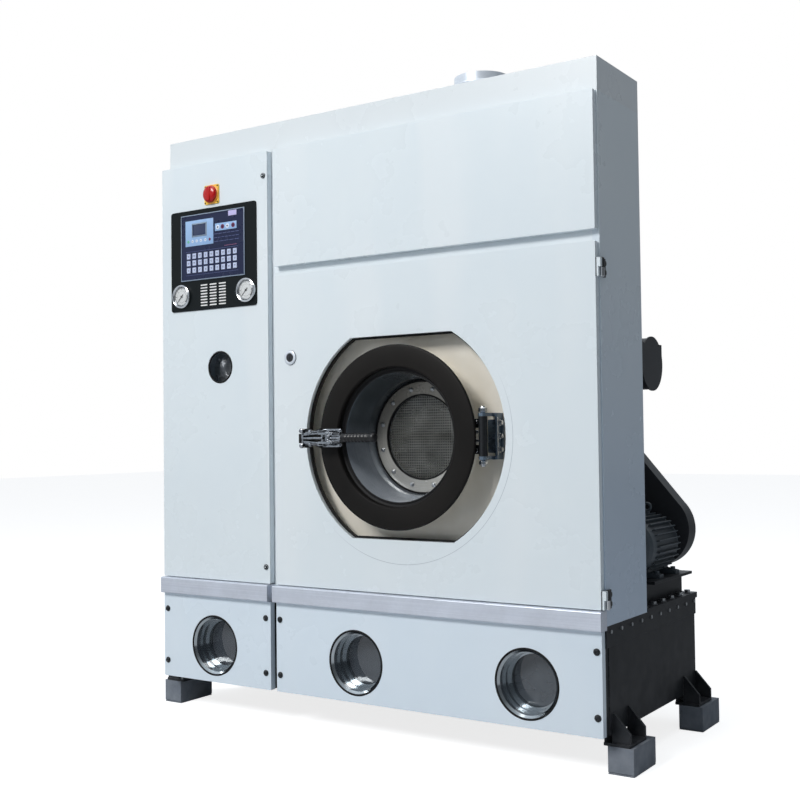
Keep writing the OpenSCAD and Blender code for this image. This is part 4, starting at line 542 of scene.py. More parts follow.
def slab(name, lo, hi, edge=0.0, steps=2):  # a block between two corners, its edges rounded
    pickOnly()
    a, b = spot(*lo), spot(*hi)
    bpy.ops.mesh.primitive_cube_add(size=1, location=(a + b) / 2)
    o = bpy.context.object
    o.name = name
    o.scale = b - a
    settle(o)
    if edge:
        roundEdges(o, edge, steps)
    return o


def pickFace(o, test):  # in edit mode, select the faces whose centre and normal pass the test
    bpy.ops.object.mode_set(mode="OBJECT")
    for f in o.data.polygons:
        f.select = bool(test(f.center, f.normal))
    bpy.ops.object.mode_set(mode="EDIT")


def pressIn(o, test, border, depth, along=(0, 1, 0)):  # inset the faces that pass and push them along
    pickOnly(o)
    bpy.ops.object.mode_set(mode="EDIT")
    bpy.ops.mesh.select_mode(type="FACE")
    bpy.ops.mesh.select_all(action="DESELECT")
    pickFace(o, test)
    bpy.ops.mesh.inset(thickness=border / 1000, depth=0)
    bpy.ops.mesh.extrude_region_move(TRANSFORM_OT_translate={"value": tuple(v * depth / 1000 for v in along)})
    bpy.ops.object.mode_set(mode="OBJECT")


def facesFront(centre, normal):
    return normal.y < -0.9


def turned(name, centre, axis, profile, sides=48, ends="both"):
    # rings of (radius, distance along the axis); ends: both, or closed back onto the first ring
    pickOnly()
    k = "xyz".index(axis)
    c = spot(*centre)
    place = c.copy()
    place[k] += profile[0][1] / 1000
    bpy.ops.mesh.primitive_circle_add(vertices=sides, radius=profile[0][0] / 1000, fill_type="NOTHING",
                                      location=place,
                                      rotation=axisTurn[axis])
    o = bpy.context.object
    o.name = name
    settle(o)
    bpy.ops.object.mode_set(mode="EDIT")
    bpy.ops.mesh.select_mode(type="VERT")
    bpy.ops.mesh.select_all(action="SELECT")
    for (r0, a0), (r1, a1) in zip(profile, profile[1:]):
        step = [0.0, 0.0, 0.0]
        step[k] = (a1 - a0) / 1000
        bpy.ops.mesh.extrude_region_move(TRANSFORM_OT_translate={"value": step})
        if abs(r1 - r0) > 1e-6:
            size = [r1 / r0] * 3
            size[k] = 1.0
            bpy.ops.transform.resize(value=size, center_override=c)
    if ends == "closed":
        bpy.ops.mesh.select_all(action="SELECT")
        bpy.ops.mesh.remove_doubles(threshold=0.00001)
    if ends == "both":
        bpy.ops.mesh.select_all(action="SELECT")
        bpy.ops.mesh.fill_holes(sides=0)
    bpy.ops.mesh.select_all(action="SELECT")
    bpy.ops.mesh.normals_make_consistent(inside=False)
    bpy.ops.object.mode_set(mode="OBJECT")
    return o


def band(name, centre, axis, profile, sides=96):  # a ring, closed back onto its first point
    return turned(name, centre, axis, profile + profile[:1], sides, "closed")


def hexagon(name, centre, axis, wide, lo, hi, chamfer=0.8):  # a nut or bolt head, wide across its corners
    r = wide / 2
    return turned(name, centre, axis, [(r - chamfer, lo), (r, lo + chamfer), (r, hi - chamfer), (r - chamfer, hi)],
                  sides=6)


def drop(o):
    pickOnly(o)
    bpy.ops.object.delete()


def twist(o, degrees, axis, centre):  # turn the mesh about a place
    bpy.context.view_layer.objects.active = o
    bpy.ops.object.mode_set(mode="EDIT")
    bpy.ops.mesh.select_all(action="SELECT")
    bpy.ops.transform.rotate(value=math.radians(degrees), orient_axis=axis.upper(), center_override=spot(*centre))
    bpy.ops.object.mode_set(mode="OBJECT")


def copyMoved(o, name, shift=(0, 0, 0), turn=None):  # shift in millimetres; turn is (degrees, axis, centre)
    pickOnly(o)
    bpy.ops.object.duplicate(linked=False)
    c = bpy.context.object
    c.name = name
    if turn:
        twist(c, *turn)
    if any(shift):
        bpy.ops.transform.translate(value=[v / 1000 for v in shift])
    settle(c)
    return c


def joined(name, parts):
    pickOnly(*parts)
    if len(parts) > 1:
        bpy.ops.object.join()
    o = bpy.context.object
    o.name = name
    return o


def cutAway(o, tool):
    pickOnly(o)
    m = o.modifiers.new("cut", "BOOLEAN")
    m.operation, m.object, m.solver = "DIFFERENCE", tool, "EXACT"
    bpy.ops.object.modifier_apply(modifier=m.name)
    drop(tool)


def done(o, finish, body, smooth=32, instead=()):
    pickOnly(o)
    o.data.materials.clear()
    o.data.materials.append(finish if hasattr(finish, "node_tree") else made[finish])
    bpy.ops.object.shade_smooth_by_angle(angle=math.radians(smooth))
    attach(o, body)
    if instead:
        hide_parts(*instead)
    return o


# membrane keypad: sheet, thin metal frame, display field, indicator strip and three rows of keys

keypadSet = {"x": (-671, -405), "z": (1361, 1569), "face": -25.2, "frame": 2.6, "keyPitch": 24.5, "keyFirst": -639.3,
             "keyRows": (1438, 1416, 1393), "keySize": (15.4, 16.8), "keyCount": 9,
             "fields": (("DisplayField", "membraneSky", (-652.6, -533), (1470, 1551.5)),
                        ("IndicatorStrip", "membraneSky", (-526, -436), (1508, 1531.5)),
                        ("Tag", "tagLilac", (-470, -436), (1550, 1566))),
             "bezel": ((-625, -560), (1498, 1542)), "screen": ((-620.4, -564.6), (1502.6, 1537.4)),
             "buttonZ": 1485, "buttons": ((-640, "iconGreen"), (-622, "iconWhite"), (-604, "iconWhite"),
                                          (-586, "iconWhite"),
                                          (-567, "iconWhite"), (-548, "iconRed")),
             "lightZ": 1519.5, "lights": ((-514, "iconWhite"), (-494, "iconRed"), (-474, "iconWhite"),
                                          (-450, "iconRed")),
             "strokes": ((1499, 6), (1487, 7), (1475, 5)), "strokeStart": -529, "strokeRow": 102,
             "ruleX": (-652, -430),
             "rules": (1452.5, 1377.5)}


def makeKeypad(s):
    x0, x1 = s["x"]
    z0, z1 = s["z"]
    f = s["face"]
    sheet = slab("keypadSheet", (x0, f, z0), (x1, -22.9, z1), 0.5)
    pressIn(sheet, facesFront, s["frame"], 0.5)
    done(sheet, "membraneBlue", "control_cover", instead=("keypad",))
    rim = slab("keypadFrame", (x0 - 1.2, f - 0.5, z0 - 1.2), (x1 + 1.2, -22.95, z1 + 1.2), 0.5)
    inner = slab("cutter", (x0 + s["frame"] - 0.4, -30, z0 + s["frame"] - 0.4),
                 (x1 - s["frame"] + 0.4, -20, z1 - s["frame"] + 0.4))
    cutAway(rim, inner)
    done(rim, "bezelGrey", "control_cover")
    g = f + 0.5  # the pressed-in field's surface

    def flat(name, spans, front, back, edge):
        (a0, a1), (b0, b1) = spans
        return slab(name, (a0, g + front, b0), (a1, g + back, b1), edge)

    for label, tone, *spans in s["fields"]:
        done(flat("keypad" + label, spans, -0.35, 0.2, 0.25), tone, "control_cover")
    bezel = flat("keypadScreenBezel", s["bezel"], -1.0, 0.1, 0.5)
    pressIn(bezel, facesFront, 4.4, 0.6)
    done(bezel, "bezelGrey", "control_cover")
    done(flat("keypadScreen", s["screen"], -0.55, -0.2, 0.1), "screenDark", "control_cover")
    tones = {"iconWhite": [], "iconGreen": [], "iconRed": []}
    for x, tone in s["buttons"]:
        tones[tone].append(turned("dot", (x, g, s["buttonZ"]), "y", [(4.6, -0.1), (4.6, -0.6), (3.9, -0.9)],
                                  sides=20))
    for x, tone in s["lights"]:
        tones[tone].append(turned("dot", (x, g, s["lightZ"]), "y", [(7.2, -0.1), (7.2, -0.6), (6.4, -0.9)], sides=24))
    for tone, dots in tones.items():
        done(joined("keypad" + tone[0].upper() + tone[1:], dots), tone, "control_cover")
    marks = []

    def mark(x, z, wide, high, front, back):  # a plain bar
        marks.append(slab("mark", (x - wide, g + front, z - high), (x + wide, g + back, z + high)))

    for x, _ in s["lights"]:
        mark(x, s["lightZ"], 3.2, 1.1, -1.1, -0.8)
        mark(x, s["lightZ"], 1.0, 3.3, -1.12, -0.8)
    for x, _ in s["buttons"][1:-1]:
        mark(x, s["buttonZ"], 1.8, 0.8, -1.1, -0.8)
    lines = []
    for z, parts in s["strokes"]:  # short printed strokes, no lettering
        for i in range(parts):
            w = (s["strokeRow"] - 3 * (parts - 1)) / parts
            x = s["strokeStart"] + i * (w + 3)
            lines.append(slab("line", (x, g - 0.2, z - 0.9), (x + w, g + 0.1, z + 0.9)))
    for z in s["rules"]:
        lines.append(slab("line", (s["ruleX"][0], g - 0.2, z - 0.5), (s["ruleX"][1], g + 0.1, z + 0.5)))
    done(joined("keypadLines", lines), "lineBlue", "control_cover")
    done(slab("keypadRoseLine", (-487, g - 0.22, 1458.4), (-436, g + 0.1, 1459.8)), "lineRose", "control_cover")
    kx, kz = s["keySize"]
    first = slab("key", (s["keyFirst"] - kx / 2, g - 1.0, s["keyRows"][0] - kz / 2),
                 (s["keyFirst"] + kx / 2, g + 0.2, s["keyRows"][0] + kz / 2), 0.5)
    pressIn(first, facesFront, 1.4, -0.15)
    keys = []
    for z in s["keyRows"]:
        for i in range(s["keyCount"]):
            keys.append(copyMoved(first, "key", (i * s["keyPitch"], 0, z - s["keyRows"][0])))
            x = s["keyFirst"] + i * s["keyPitch"]
            mark(x, z + 1.5, 3.4, 0.7, -1.3, -1.1)
            mark(x, z - 1.9, 2.2, 0.7, -1.3, -1.1)
    drop(first)
    done(joined("keypadKeys", keys), "keyLilac", "control_cover")
    done(joined("keypadMarks", marks), "lineDark", "control_cover", smooth=20)


makeKeypad(keypadSet)

# white sheet behind the plate's air slots, set pure white and paler than the cover paint: partly its own pale colour,
# partly painted light in the shaded slots

slotSet = {"x": (-592, -484), "z": (1276, 1352)}
backing = slab("slotBacking", (slotSet["x"][0], -21.6, slotSet["z"][0]), (slotSet["x"][1], -20.1, slotSet["z"][1]),
               0.4)
pressIn(backing, facesFront, 1.0, 0.1)
done(backing, "slotWhite", "control_cover")
print("keypad and slots")

# round gauges: bezel, inner ring, printed dial, crystal; the needles turn on their own bodies

gaugeSet = {"places": (("Left", -670), ("Right", -398)), "z": 1312, "bezelRadius": 38, "dialRadius": 30.5}


def makeDialMarks():  # strokes round a dial: fine, coarse and a thin ring
    t, gi, go = groupShell("dialMarks",
                           [("Centre", "NodeSocketVector", (0, 0, 0)), ("Radius", "NodeSocketFloat", 0.03)],
                           [("Mask", "NodeSocketFloat"), ("Arc", "NodeSocketFloat")])
    off = vec(t, "SUBTRACT", objectPlace(t), gi.outputs["Centre"])
    s = split(t, off)
    r = math2(t, "DIVIDE", vec(t, "LENGTH", vec(t, "MULTIPLY", off, (1, 0, 1))), gi.outputs["Radius"])
    deg = math2(t, "MULTIPLY", math2(t, "ARCTAN2", s["X"], s["Z"]), math.degrees(1))
    live = math2(t, "LESS_THAN", math2(t, "ABSOLUTE", deg), 137.0)

    def between(v, lo, hi):
        return math2(t, "MULTIPLY", math2(t, "GREATER_THAN", v, lo), math2(t, "LESS_THAN", v, hi))

    def ringAt(radius, wide):
        return math2(t, "LESS_THAN", math2(t, "ABSOLUTE", math2(t, "SUBTRACT", r, radius)), wide)

    def strokes(step, wide, lo, hi):
        turns = math2(t, "FRACT", math2(t, "ADD", math2(t, "DIVIDE", deg, step), 0.5))
        near = math2(t, "ABSOLUTE", math2(t, "SUBTRACT", turns, 0.5))
        return math2(t, "MULTIPLY", math2(t, "LESS_THAN", near, wide / step), between(r, lo, hi))

    both = math2(t, "MAXIMUM", strokes(9.0, 0.9, 0.80, 0.90), strokes(45.0, 2.0, 0.70, 0.90))
    both = math2(t, "MULTIPLY", both, live)
    rings = math2(t, "MAXIMUM", math2(t, "MULTIPLY", ringAt(0.62, 0.018), 0.5), ringAt(0.92, 0.012))
    t.links.new(math2(t, "MAXIMUM", both, rings), go.inputs["Mask"])
    t.links.new(math2(t, "MULTIPLY", between(r, 0.74, 0.9), between(deg, 78.0, 135.0)), go.inputs["Arc"])
    return t


dialMarks = makeDialMarks()


def makeDialPaint(name, centre, radius):
    m = finishMaterial(name, {"light": tint(226, 228, 229), "dark": tint(214, 217, 219), "patch": 16.0,
                              "rough": (0.3, 0.4),
                              "bump": 0.04, "metal": 0.1})
    t, p, link = overPaint(m)
    g = placeGroup(t, dialMarks, {"Centre": centre, "Radius": radius})
    c = mixColour(t, g.outputs["Arc"], link, tint(40, 44, 48))
    t.links.new(mixColour(t, g.outputs["Mask"], c, tint(58, 62, 66)), p.inputs["Base Color"])
    return m


def makeGauge(side, x, s):
    z, big, dial = s["z"], s["bezelRadius"], s["dialRadius"]
    ring = band("gaugeBezel" + side, (x, 0, z), "y",
                [(dial - 0.5, -23.5), (big - 1, -22.9), (big, -24.5), (big, -29), (big - 1.2, -31.4),
                 (big - 3.4, -32.4),
                 (big - 5.4, -31.6), (dial + 0.4, -29.2), (dial - 0.5, -27.4)], 72)
    done(ring, "chrome", "control_cover", instead=("gauge_" + side.lower(),))
    rim = band("gaugeInnerRing" + side, (x, 0, z), "y",
               [(dial - 2.6, -26.4), (dial - 0.4, -26.2), (dial - 0.5, -28.6), (dial - 1.6, -29.0),
                (dial - 2.8, -27.6)], 72)
    done(rim, "latchSteel", "control_cover")
    face = turned("gaugeDial" + side, (x, 0, z), "y",
                  [(dial - 0.6, -25.2), (dial - 0.6, -26.0), (dial - 1.2, -26.2), (4, -26.2)],
                  sides=72)
    done(face, makeDialPaint("dialPaint" + side, spot(x, 0, z), (dial - 0.6) / 1000), "control_cover")
    lens = turned("gaugeCrystal" + side, (x, 0, z), "y",
                  [(dial + 0.6, -29.4), (dial + 0.6, -30.0), (dial - 6, -30.7), (8, -31.1)], sides=72)
    done(lens, gaugeGlass, "control_cover", smooth=60)
    body = "gauge_needle_" + side.lower()
    hub = turned("gaugeHub" + side, (x, 0, z), "y", [(3.6, -26.4), (3.6, -28.4), (2.6, -28.9), (1.0, -29.1)],
                 sides=24)
    done(hub, "needleBlack", body)


for side, x in gaugeSet["places"]:
    makeGauge(side, x, gaugeSet)
print("gauges")

# main switch: a domed red knob with a broad grip, an orange rim, and screws at the corners of the yellow plate

switchSet = {"x": -541, "z": 1626, "knobRadius": 26.4, "rimRadius": 29.8, "plateScrew": 25.5}


def makeSwitch(s):
    x, z, r, wide = s["x"], s["z"], s["knobRadius"], s["rimRadius"]
    rim = band("switchRim", (x, 0, z), "y",
               [(22, -24.1), (wide - 1, -24.1), (wide, -25.4), (wide, -27.2), (wide - 1.4, -28.0), (22, -28.0)], 72)
    done(rim, "rimOrange", "control_cover")
    knob = turned("switchKnobDome", (x, 0, z), "y",
                  [(r - 2.5, -28.25), (r - 0.4, -28.6), (r, -30), (r, -33), (r - 1.2, -35.6), (r - 4.5, -38),
                   (r - 10, -39.8), (9, -40.8),
                   (2, -41.0)], sides=72)
    grip = slab("grip", (x - 8, -42.8, z - 22), (x + 8, -36, z + 22), 3.0, 4)
    knob = joined("switchKnobDome", [knob, grip])
    done(knob, "knobRed", "switch_knob", smooth=40, instead=("switch_knob",))
    screws = []
    for sx in (-1, 1):
        for sz in (-1, 1):
            corner = (x + sx * s["plateScrew"], 0, z + sz * s["plateScrew"])
            screws.append(turned("screw", corner, "y", [(2.6, -23.9), (2.6, -24.6), (1.9, -25.2), (0.6, -25.3)],
                                 sides=16))
    done(joined("switchPlateScrews", screws), "darkSteel", "control_cover")


makeSwitch(switchSet)
print("main switch")

# loading door: rolled black ring, black inner bead, spun bowl

doorSet = {"x": 161, "z": 855, "ring": [(194.5, -50), (197.5, -53.4), (200, -54), (250, -54), (256, -52.6),
                                        (258.4, -49), (258.2, -45),
                                        (254, -39), (241.5, -20), (240, -17), (203, -17), (203, -31), (194.5, -31)],
           "bead": [(180.8, -30.7), (181, -32.2), (184, -33.4), (187, -31.8), (190, -34.4), (194.2, -35.4),
                    (194.2, -30.7)],
           "bowl": [(201.5, -30.6), (181, -30.6), (178.6, -26), (170, 56), (167.6, 60), (166.6, 66), (166, 88),
                    (164, 104), (164, 108),
                    (122, 108), (122, 112), (166, 112), (168.2, 90), (169, 66), (171.8, 58), (180.6, -25),
                    (183, -27.6), (201.5, -27.6)],
           "screwCircle": 141, "screws": 12}


def makeLoadingDoor(s):
    at = (s["x"], 0, s["z"])
    done(band("doorRingRolled", at, "y", s["ring"], 144), "ringBlack", "loading_door",
         instead=("door_ring",))
    done(band("doorInnerBead", at, "y", s["bead"], 144), "rubberBlack", "loading_door", smooth=50)
    done(band("doorBowlSpun", at, "y", s["bowl"], 144), "turnedDoor", "loading_door",
         instead=("door_bowl",))
    for label, r in (("Outer", 161.9), ("Inner", 121.4)):
        line = [(r - 2, 99.4), (r - 2, 93.2), (r + 1.6, 92.8), (r + 1.6, 99.4)]
        done(band("windowSeal" + label, at, "y", line, 120), "rubberBlack", "loading_door")
    first = turned("bolt", (s["x"] + s["screwCircle"], 0, s["z"]), "y",
                   [(6.6, 94.1), (6.6, 93), (5.2, 92.2), (5.0, 89.4), (3.6, 88.4), (1.2, 88.2)], sides=20)
    step = 360 / s["screws"]
    bolts = [copyMoved(first, "bolt", turn=((i + 0.5) * step, "y", at)) for i in range(s["screws"])]
    drop(first)
    done(joined("doorClampDomes", bolts), "zinc", "loading_door", instead=("door_clamp_bolts",))


makeLoadingDoor(doorSet)

# rubber edge round the inside of the cut-out, and soft rims on the other holes

trimSet = {"radius": 332.6, "flat": 286.6, "wide": 5.0, "front": -8.5, "rear": 4.5}


def makeCutoutTrim(s):
    pickOnly()
    place = spot(doorSet["x"], s["front"], doorSet["z"])
    bpy.ops.mesh.primitive_circle_add(vertices=144, radius=s["radius"] / 1000, fill_type="NGON", location=place,
                                      rotation=axisTurn["y"])
    o = bpy.context.object
    o.name = "cutoutRubberEdge"
    settle(o)
    bpy.ops.object.mode_set(mode="EDIT")
    for side in (1, -1):
        bpy.ops.mesh.select_all(action="SELECT")
        bpy.ops.mesh.bisect(plane_co=place + Vector((0, 0, side * s["flat"] / 1000)), plane_no=(0, 0, side),
                            clear_outer=True)
    bpy.ops.mesh.select_mode(type="FACE")
    bpy.ops.mesh.select_all(action="SELECT")
    bpy.ops.mesh.inset(thickness=s["wide"] / 1000, depth=0)
    bpy.ops.mesh.delete(type="FACE")
    bpy.ops.mesh.select_all(action="SELECT")
    bpy.ops.mesh.extrude_region_move(TRANSFORM_OT_translate={"value": (0, (s["rear"] - s["front"]) / 1000, 0)})
    bpy.ops.mesh.select_all(action="SELECT")
    bpy.ops.mesh.normals_make_consistent(inside=False)
    bpy.ops.object.mode_set(mode="OBJECT")
    roundEdges(o, 1.0, 2)
    done(o, "rubberBlack", "service_door")


makeCutoutTrim(trimSet)


def softRim(name, x, z, hole, body, over=2.6):
    lo, hi = hole - over, hole + over
    o = band(name, (x, 0, z), "y", [(lo, -18.4), (lo, -20.6), (lo + 1.2, -21.6), (hi - 1.4, -21.6), (hi, -20.6),
                                    (hi, -20.02),
                                    (hole - 0.4, -20.02), (hole - 0.6, -18.4)])
    done(o, "rubberBlack", body, smooth=50)


viewHole = {"x": -512, "z": 1080, "radius": 48}
softRim("viewHoleRim", viewHole["x"], viewHole["z"], viewHole["radius"], "control_cover")
sightRadius = 91
for label, c in zip(("Left", "Middle", "Right"), sightCentres):
    softRim("sightRim" + label, round(c[0] * 1000), round(c[2] * 1000), sightRadius, "machine")
print("loading door, trims and rims")

# screws of the lower panels and of the control cover, and the service lock

screwSet = {"panelX": (-744, -335, -279, 742), "panelZ": (150, 314), "coverX": -331, "coverZ": (468, 1657)}


def screwHead(name, x, z, front, wide):
    o = turned(name, (x, 0, z), "y",
               [(wide, -19.98), (wide, front + 4.4), (wide - 0.8, front + 3.6), (wide * 0.72, front + 3.4),
                                      (wide * 0.72, front + 1.4), (wide * 0.6, front + 0.3), (wide * 0.36, front)],
                                      sides=24)
    pressIn(o, lambda c, n: n.y < -0.9 and (c - spot(x, front, z)).length < 0.002, 0.4, 2.2)
    return o


def makeScrews(s):
    first = screwHead("screw", s["panelX"][0], s["panelZ"][0], -26.2, 9.2)
    heads = [copyMoved(first, "screw",
                       (x - s["panelX"][0], 0, z - s["panelZ"][0])) for x in s["panelX"] for z in s["panelZ"]]
    drop(first)
    done(joined("panelScrewHeads", heads), "darkSteel", "machine", instead=("lower_panel_screws",))
    for label, z in zip(("Low", "High"), s["coverZ"]):
        done(screwHead("coverScrew" + label, s["coverX"], z, -26.4, 8.4), "darkSteel", "control_cover")


makeScrews(screwSet)

lockSet = {"x": -230, "z": 1096, "out": 21.6, "barrel": 12.6}


def makeLock(s):
    at = (s["x"], 0, s["z"])
    r, b = s["out"], s["barrel"]
    bezel = band("lockBezel", at, "y",
                 [(b + 0.4, -20.1), (b + 0.4, -23.8), (b + 1.6, -25.0), (r - 2.6, -25.0), (r - 0.6, -24.2),
                                        (r, -22.6), (r, -20.1)], 64)
    done(bezel, "galvanised", "service_lock")
    barrel = turned("lockBarrel", at, "y", [(b, -21), (b, -23.6), (b - 1.2, -24.4), (3, -24.6)], sides=48)
    slot = slab("cutter", (s["x"] - 1.4, -30, s["z"] - 6.5), (s["x"] + 1.4, -22.6, s["z"] + 6.5))
    cutAway(barrel, slot)
    done(barrel, "satinBlack", "service_lock")


makeLock(lockSet)
print("screws and lock")

# latch: hooked links with adjusting rod and nuts, forked lever, ribbed grip

latchSet = {"z": 855, "y": -92, "hook": -133, "gap": 21.5, "clawPivot": -57, "leverPivot": -35, "gripStart": 11,
            "gripEnd": 129,
            "ribPitch": 11.5}


def channelBar(name, x0, x1, z0, z1, y0, y1, wall=1.6, deep=3.0):  # a pressed channel, open to the front
    o = slab(name, (x0, y0, z0), (x1, y1, z1), 0.5)
    pressIn(o, facesFront, wall, deep)
    return o


def makeLatch(s):
    y, z, g = s["y"], s["z"], s["gap"]
    darkClaw, darkLever = [], []
    parts = []
    for side in (-1, 1):
        bar = channelBar("bar", s["hook"] + 6, s["clawPivot"] + 6, z + side * 17 - 4.6, z + side * 17 + 4.6, y - 6,
                         y + 6)
        pickOnly(bar)
        twist(bar, side * 4.5, "y", (s["clawPivot"], y, z + side * 17))
        parts.append(bar)
        darkClaw.append(slab("floor", (s["hook"] + 16, y - 4.6, z + side * 18 - 3.0),
                             (s["clawPivot"] + 2, y - 2.4, z + side * 18 + 3.0), 0.4))
        parts.append(turned("head", (s["hook"] + 6, 0, z + side * g), "y",
                            [(5, y + 6), (6.8, y - 5), (7.2, y - 9), (6.4, y - 11.4),
                                                                            (4, y - 12.6), (1.4, y - 12.9)],
                                                                            sides=28))
        parts.append(hexagon("nut", (0, y, z + side * 17.5), "x", 15.5, -104, -96))
        parts.append(hexagon("nut", (0, y, z + side * 16.5), "x", 14.5, -72, -66))
    parts.append(slab("bridge", (s["hook"] + 3, y - 5, z - g), (s["hook"] + 9, y + 4, z + g), 1.4))
    parts.append(slab("yoke", (s["clawPivot"] - 4, y - 3, z - 17), (s["clawPivot"] + 5, y + 5, z + 17), 1.6))
    parts.append(turned("rod", (0, y - 5, z), "x",
                        [(2.8, s["hook"] + 9), (3.6, s["hook"] + 10), (3.6, s["clawPivot"] + 4),
                         (2.8, s["clawPivot"] + 5)],
                        sides=24))
    done(joined("latchHookLinks", parts), "latchSteel", "latch_claw", instead=("latch_claw",))
    done(slab("latchHookPad", (s["hook"] - 8, y - 4, z - 14), (s["hook"] + 2.6, y + 5, z + 13), 1.6), "rubberBlack",
         "latch_claw")
    forks = []
    for side in (-1, 1):
        arm = channelBar("arm", s["leverPivot"] - 10, s["gripStart"] - 4, z + side * 13 - 4.2, z + side * 13 + 4.2,
                         y - 5.4, y + 5.4, 1.5, 2.6)
        pickOnly(arm)
        twist(arm, side * -7, "y", (s["leverPivot"], y, z + side * 13))
        forks.append(arm)
        darkLever.append(slab("floor", (s["leverPivot"] - 6, y - 5.6, z + side * 12 - 2.7),
                              (s["gripStart"] - 8, y - 3.4, z + side * 12 + 2.7), 0.4))
        link = slab("link", (s["leverPivot"] - 8, y - 8.4, z + side * 7 - 2.2),
                    (s["leverPivot"] + 20, y - 4.6, z + side * 7 + 2.2), 0.8)
        pickOnly(link)
        twist(link, side * 28, "y", (s["leverPivot"] + 6, y, z + side * 7))
        forks.append(link)
        forks.append(turned("pin", (s["leverPivot"], 0, z + side * 13), "y",
                            [(3.4, y), (3.4, y - 7), (2.4, y - 8.2), (0.8, y - 8.4)], sides=18))
    forks.append(turned("hub", (s["leverPivot"], y, 0), "z",
                        [(7, z - 9.5), (8.6, z - 8.5), (8.6, z + 8.5), (7, z + 9.5)], sides=32))
    forks.append(turned("shank", (0, y, z), "x",
                        [(4.4, s["leverPivot"]), (4.8, s["leverPivot"] + 4), (4.8, s["gripStart"] + 10)], sides=24))
    start, end = s["gripStart"], s["gripEnd"]
    ferrule = [(7.4, start - 5), (8.4, start - 4), (8.4, start + 1), (7.4, start + 2)]
    forks.append(turned("ferrule", (0, y, z), "x", ferrule, sides=28))
    done(joined("latchHookFloors", darkClaw), "satinBlack", "latch_claw")
    done(joined("latchForkFloors", darkLever), "satinBlack", "latch_lever")
    done(joined("latchLeverFork", forks), "latchSteel", "latch_lever", instead=("latch_lever",))
    rings = [(8.6, start), (12.2, start + 1.6), (13, start + 6)]
    x = start + 12
    while x < end - 26:
        rings += [(12.0, x), (13.2, x + 2.4), (13.2, x + 6.6), (12.0, x + 9)]
        x += s["ribPitch"]
    rings += [(12.4, end - 15), (13.6, end - 12), (13.6, end - 8), (11.6, end - 3.6), (8.2, end - 0.9), (4.2, end)]
    done(turned("latchGripRibbed", (0, y, z), "x", rings, sides=48), "gripRubber", "latch_lever", smooth=50,
         instead=("latch_grip",))


makeLatch(latchSet)
print("latch")

# loading door hinge: nuts on the pin, bolts and a bright edge on the bracket; service hinges: bright sleeves

hingeSet = {"x": 433, "y": -33, "z": 855, "half": 53, "serviceX": 766, "serviceY": -2, "serviceZ": (442, 1278),
            "leaf": 47,
            "plateBolts": (-36, 0, 36), "strapBolts": (-38, -12, 12, 38), "strapReach": 27}


def makeHinges(s):
    x, y, z, h = s["x"], s["y"], s["z"], s["half"]
    nuts = []
    for side in (-1, 1):
        far = z + side * (h + 23)
        near = z + side * (h + 11.6)
        nuts.append(hexagon("nut", (x, y, 0), "z", 23.5, min(far, near), max(far, near), 1.6))
        tip = z + side * (h + 27)
        lo, hi = sorted((far, tip))
        nuts.append(turned("tip", (x, y, 0), "z", [(6.2, lo), (6.8, (lo + hi) / 2), (6.0, hi)], sides=24))
    done(joined("doorHingeNuts", nuts), "chrome", "machine")
    bolts = []
    for dz in s["plateBolts"]:
        bolts.append(turned("washer", (0, 24, z + dz), "x", [(8.2, 452.4), (8.6, 453), (8.6, 454), (7.8, 454.6)],
                            sides=28))
        bolts.append(hexagon("head", (0, 24, z + dz), "x", 13.4, 454.4, 461, 1.2))
    for dz in s["strapBolts"]:
        bolts.append(turned("strapBolt", (s["x"] - s["strapReach"], 0, z + dz), "y",
                            [(5.2, -19), (5.2, -23), (4.2, -24.4), (1.6, -24.8)], sides=20))
    done(joined("doorHingeBolts", bolts), "chrome", "machine")
    done(slab("doorHingeEdge", (452.6, 8.4, z - h + 3), (454.4, 12.6, z + h - 3), 0.5), "chrome", "machine")
    for label, zz in zip(("Low", "High"), s["serviceZ"]):
        half = s["leaf"] / 2
        at = (s["serviceX"], s["serviceY"], 0)
        fixed = [(5.4, zz - half - 0.6), (6.3, zz - half + 0.6), (6.3, zz - 1.0), (5.6, zz - 0.4)]
        moving = [(5.6, zz + 0.3), (6.3, zz + 0.9), (6.3, zz + half - 0.6), (5.4, zz + half + 0.6)]
        done(turned("serviceHingeFixed" + label, at, "z", fixed, sides=28), "chrome", "machine")
        done(turned("serviceHingeMoving" + label, at, "z", moving, sides=28), "satinBlack", "service_door")
        leaf = slab("serviceHingeLeaf" + label, (756.1, -19.6, zz - half), (758.6, -11, zz + half), 0.6)
        pressIn(leaf, lambda c, n: n.x > 0.9, 1.2, -0.4, (1, 0, 0))
        done(leaf, "satinBlack", "service_door")


makeHinges(hingeSet)
print("hinges")

# pale floor and world: white where the camera looks, a soft room for the reflections, a modest light all round


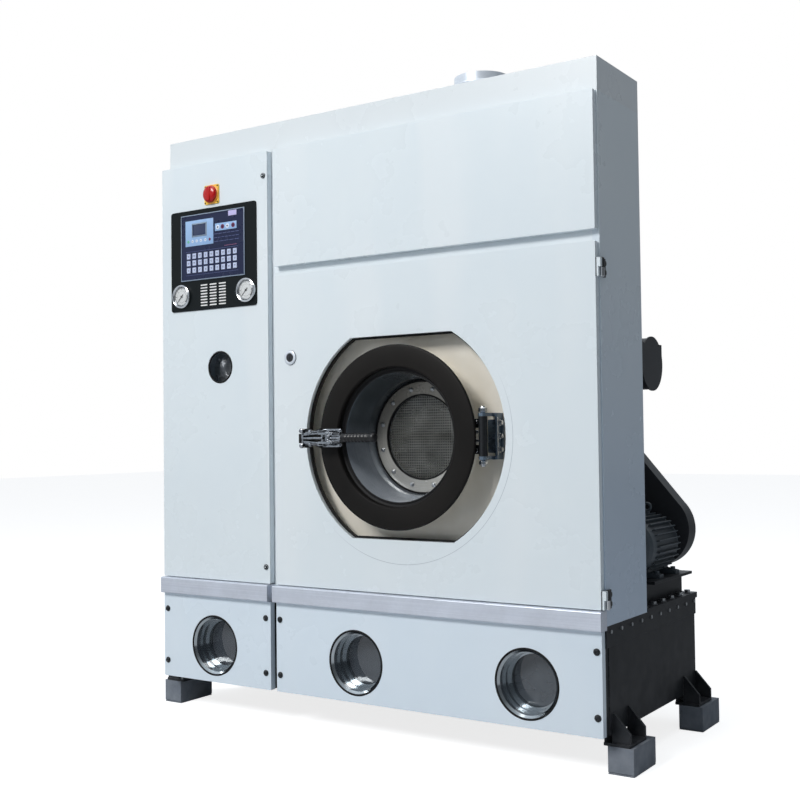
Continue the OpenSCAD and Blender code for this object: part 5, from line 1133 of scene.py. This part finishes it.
def addStage(s):
    bpy.ops.object.select_all(action="DESELECT")
    bpy.ops.mesh.primitive_plane_add(size=s["floor"], location=(0, 0, -0.0005))
    floor = bpy.context.object
    floor.name = "studioFloor"
    m = bpy.data.materials.new("studioFloorPaint")
    m.use_nodes = True
    t = m.node_tree
    p = t.nodes["Principled BSDF"]
    p.inputs["Base Color"].default_value = s["colour"]
    p.inputs["Roughness"].default_value = 0.9
    p.inputs["Specular IOR Level"].default_value = 0.1
    lp = addNode(t, "ShaderNodeLightPath")
    p.inputs["Emission Color"].default_value = (1, 1, 1, 1)
    t.links.new(math2(t, "MULTIPLY", lp.outputs["Is Camera Ray"], s["lift"]), p.inputs["Emission Strength"])
    floor.data.materials.append(m)
    world = bpy.data.worlds.new("paleStudio")
    bpy.context.scene.world = world
    world.use_nodes = True
    w = world.node_tree
    w.nodes.clear()
    out = addNode(w, "ShaderNodeOutputWorld")
    lp = addNode(w, "ShaderNodeLightPath")
    co = addNode(w, "ShaderNodeTexCoord")
    d = addNode(w, "ShaderNodeSeparateXYZ", None, {"Vector": co.outputs["Generated"]})
    across = ramp(w, d.outputs["X"], -0.5, 0.6, s["roomLeft"], s["roomRight"])  # brighter at the left
    above = ramp(w, d.outputs["Z"], 0.25, 0.75, 1.0, s["roomTop"])
    room = math2(w, "MULTIPLY", across, above)
    shiny = math2(w, "MAXIMUM", lp.outputs["Is Glossy Ray"], lp.outputs["Is Transmission Ray"])
    st = addNode(w, "ShaderNodeMix", {2: s["ambient"]}, {0: shiny, 3: room}, data_type="FLOAT")
    sc = addNode(w, "ShaderNodeMix", {3: 1.0}, {0: lp.outputs["Is Camera Ray"], 2: st.outputs[0]}, data_type="FLOAT")
    tone = mixColour(w, lp.outputs["Is Camera Ray"], s["airColour"], (1, 1, 1, 1))
    bg = addNode(w, "ShaderNodeBackground", None, {"Color": tone, "Strength": sc.outputs[0]})
    w.links.new(bg.outputs["Background"], out.inputs["Surface"])


def addLamp(l):
    bpy.ops.object.light_add(type="AREA", location=l["place"])
    o = bpy.context.object
    o.name = l["name"]
    o.data.shape = "RECTANGLE"
    o.data.size, o.data.size_y = l["size"]
    o.data.energy = l["power"]
    o.data.color = l["colour"]
    o.rotation_mode = "QUATERNION"
    o.rotation_quaternion = (Vector(l["aim"]) - Vector(l["place"])).to_track_quat("-Z", "Y")


addStage({"floor": 40, "colour": tint(206, 209, 213), "lift": 0.8, "ambient": 0.2,
          "airColour": (0.91, 0.985, 1.06, 1),
          "roomLeft": 0.75, "roomRight": 0.12, "roomTop": 1.4})
lamps = [
    {"name": "keyFront", "place": (-1.4, -6.6, 5.4), "aim": (0.0, -0.2, 0.95), "size": (3.0, 2.2), "power": 424,
     "colour": (1.0, 0.985, 0.96)},
    {"name": "topSoft", "place": (0.2, -0.4, 4.8), "aim": (0.0, 0.0, 1.0), "size": (3.5, 2.5), "power": 60,
     "colour": (1, 1, 1)},
]
for l in lamps:
    addLamp(l)
print("stage and", len(lamps), "lamps")
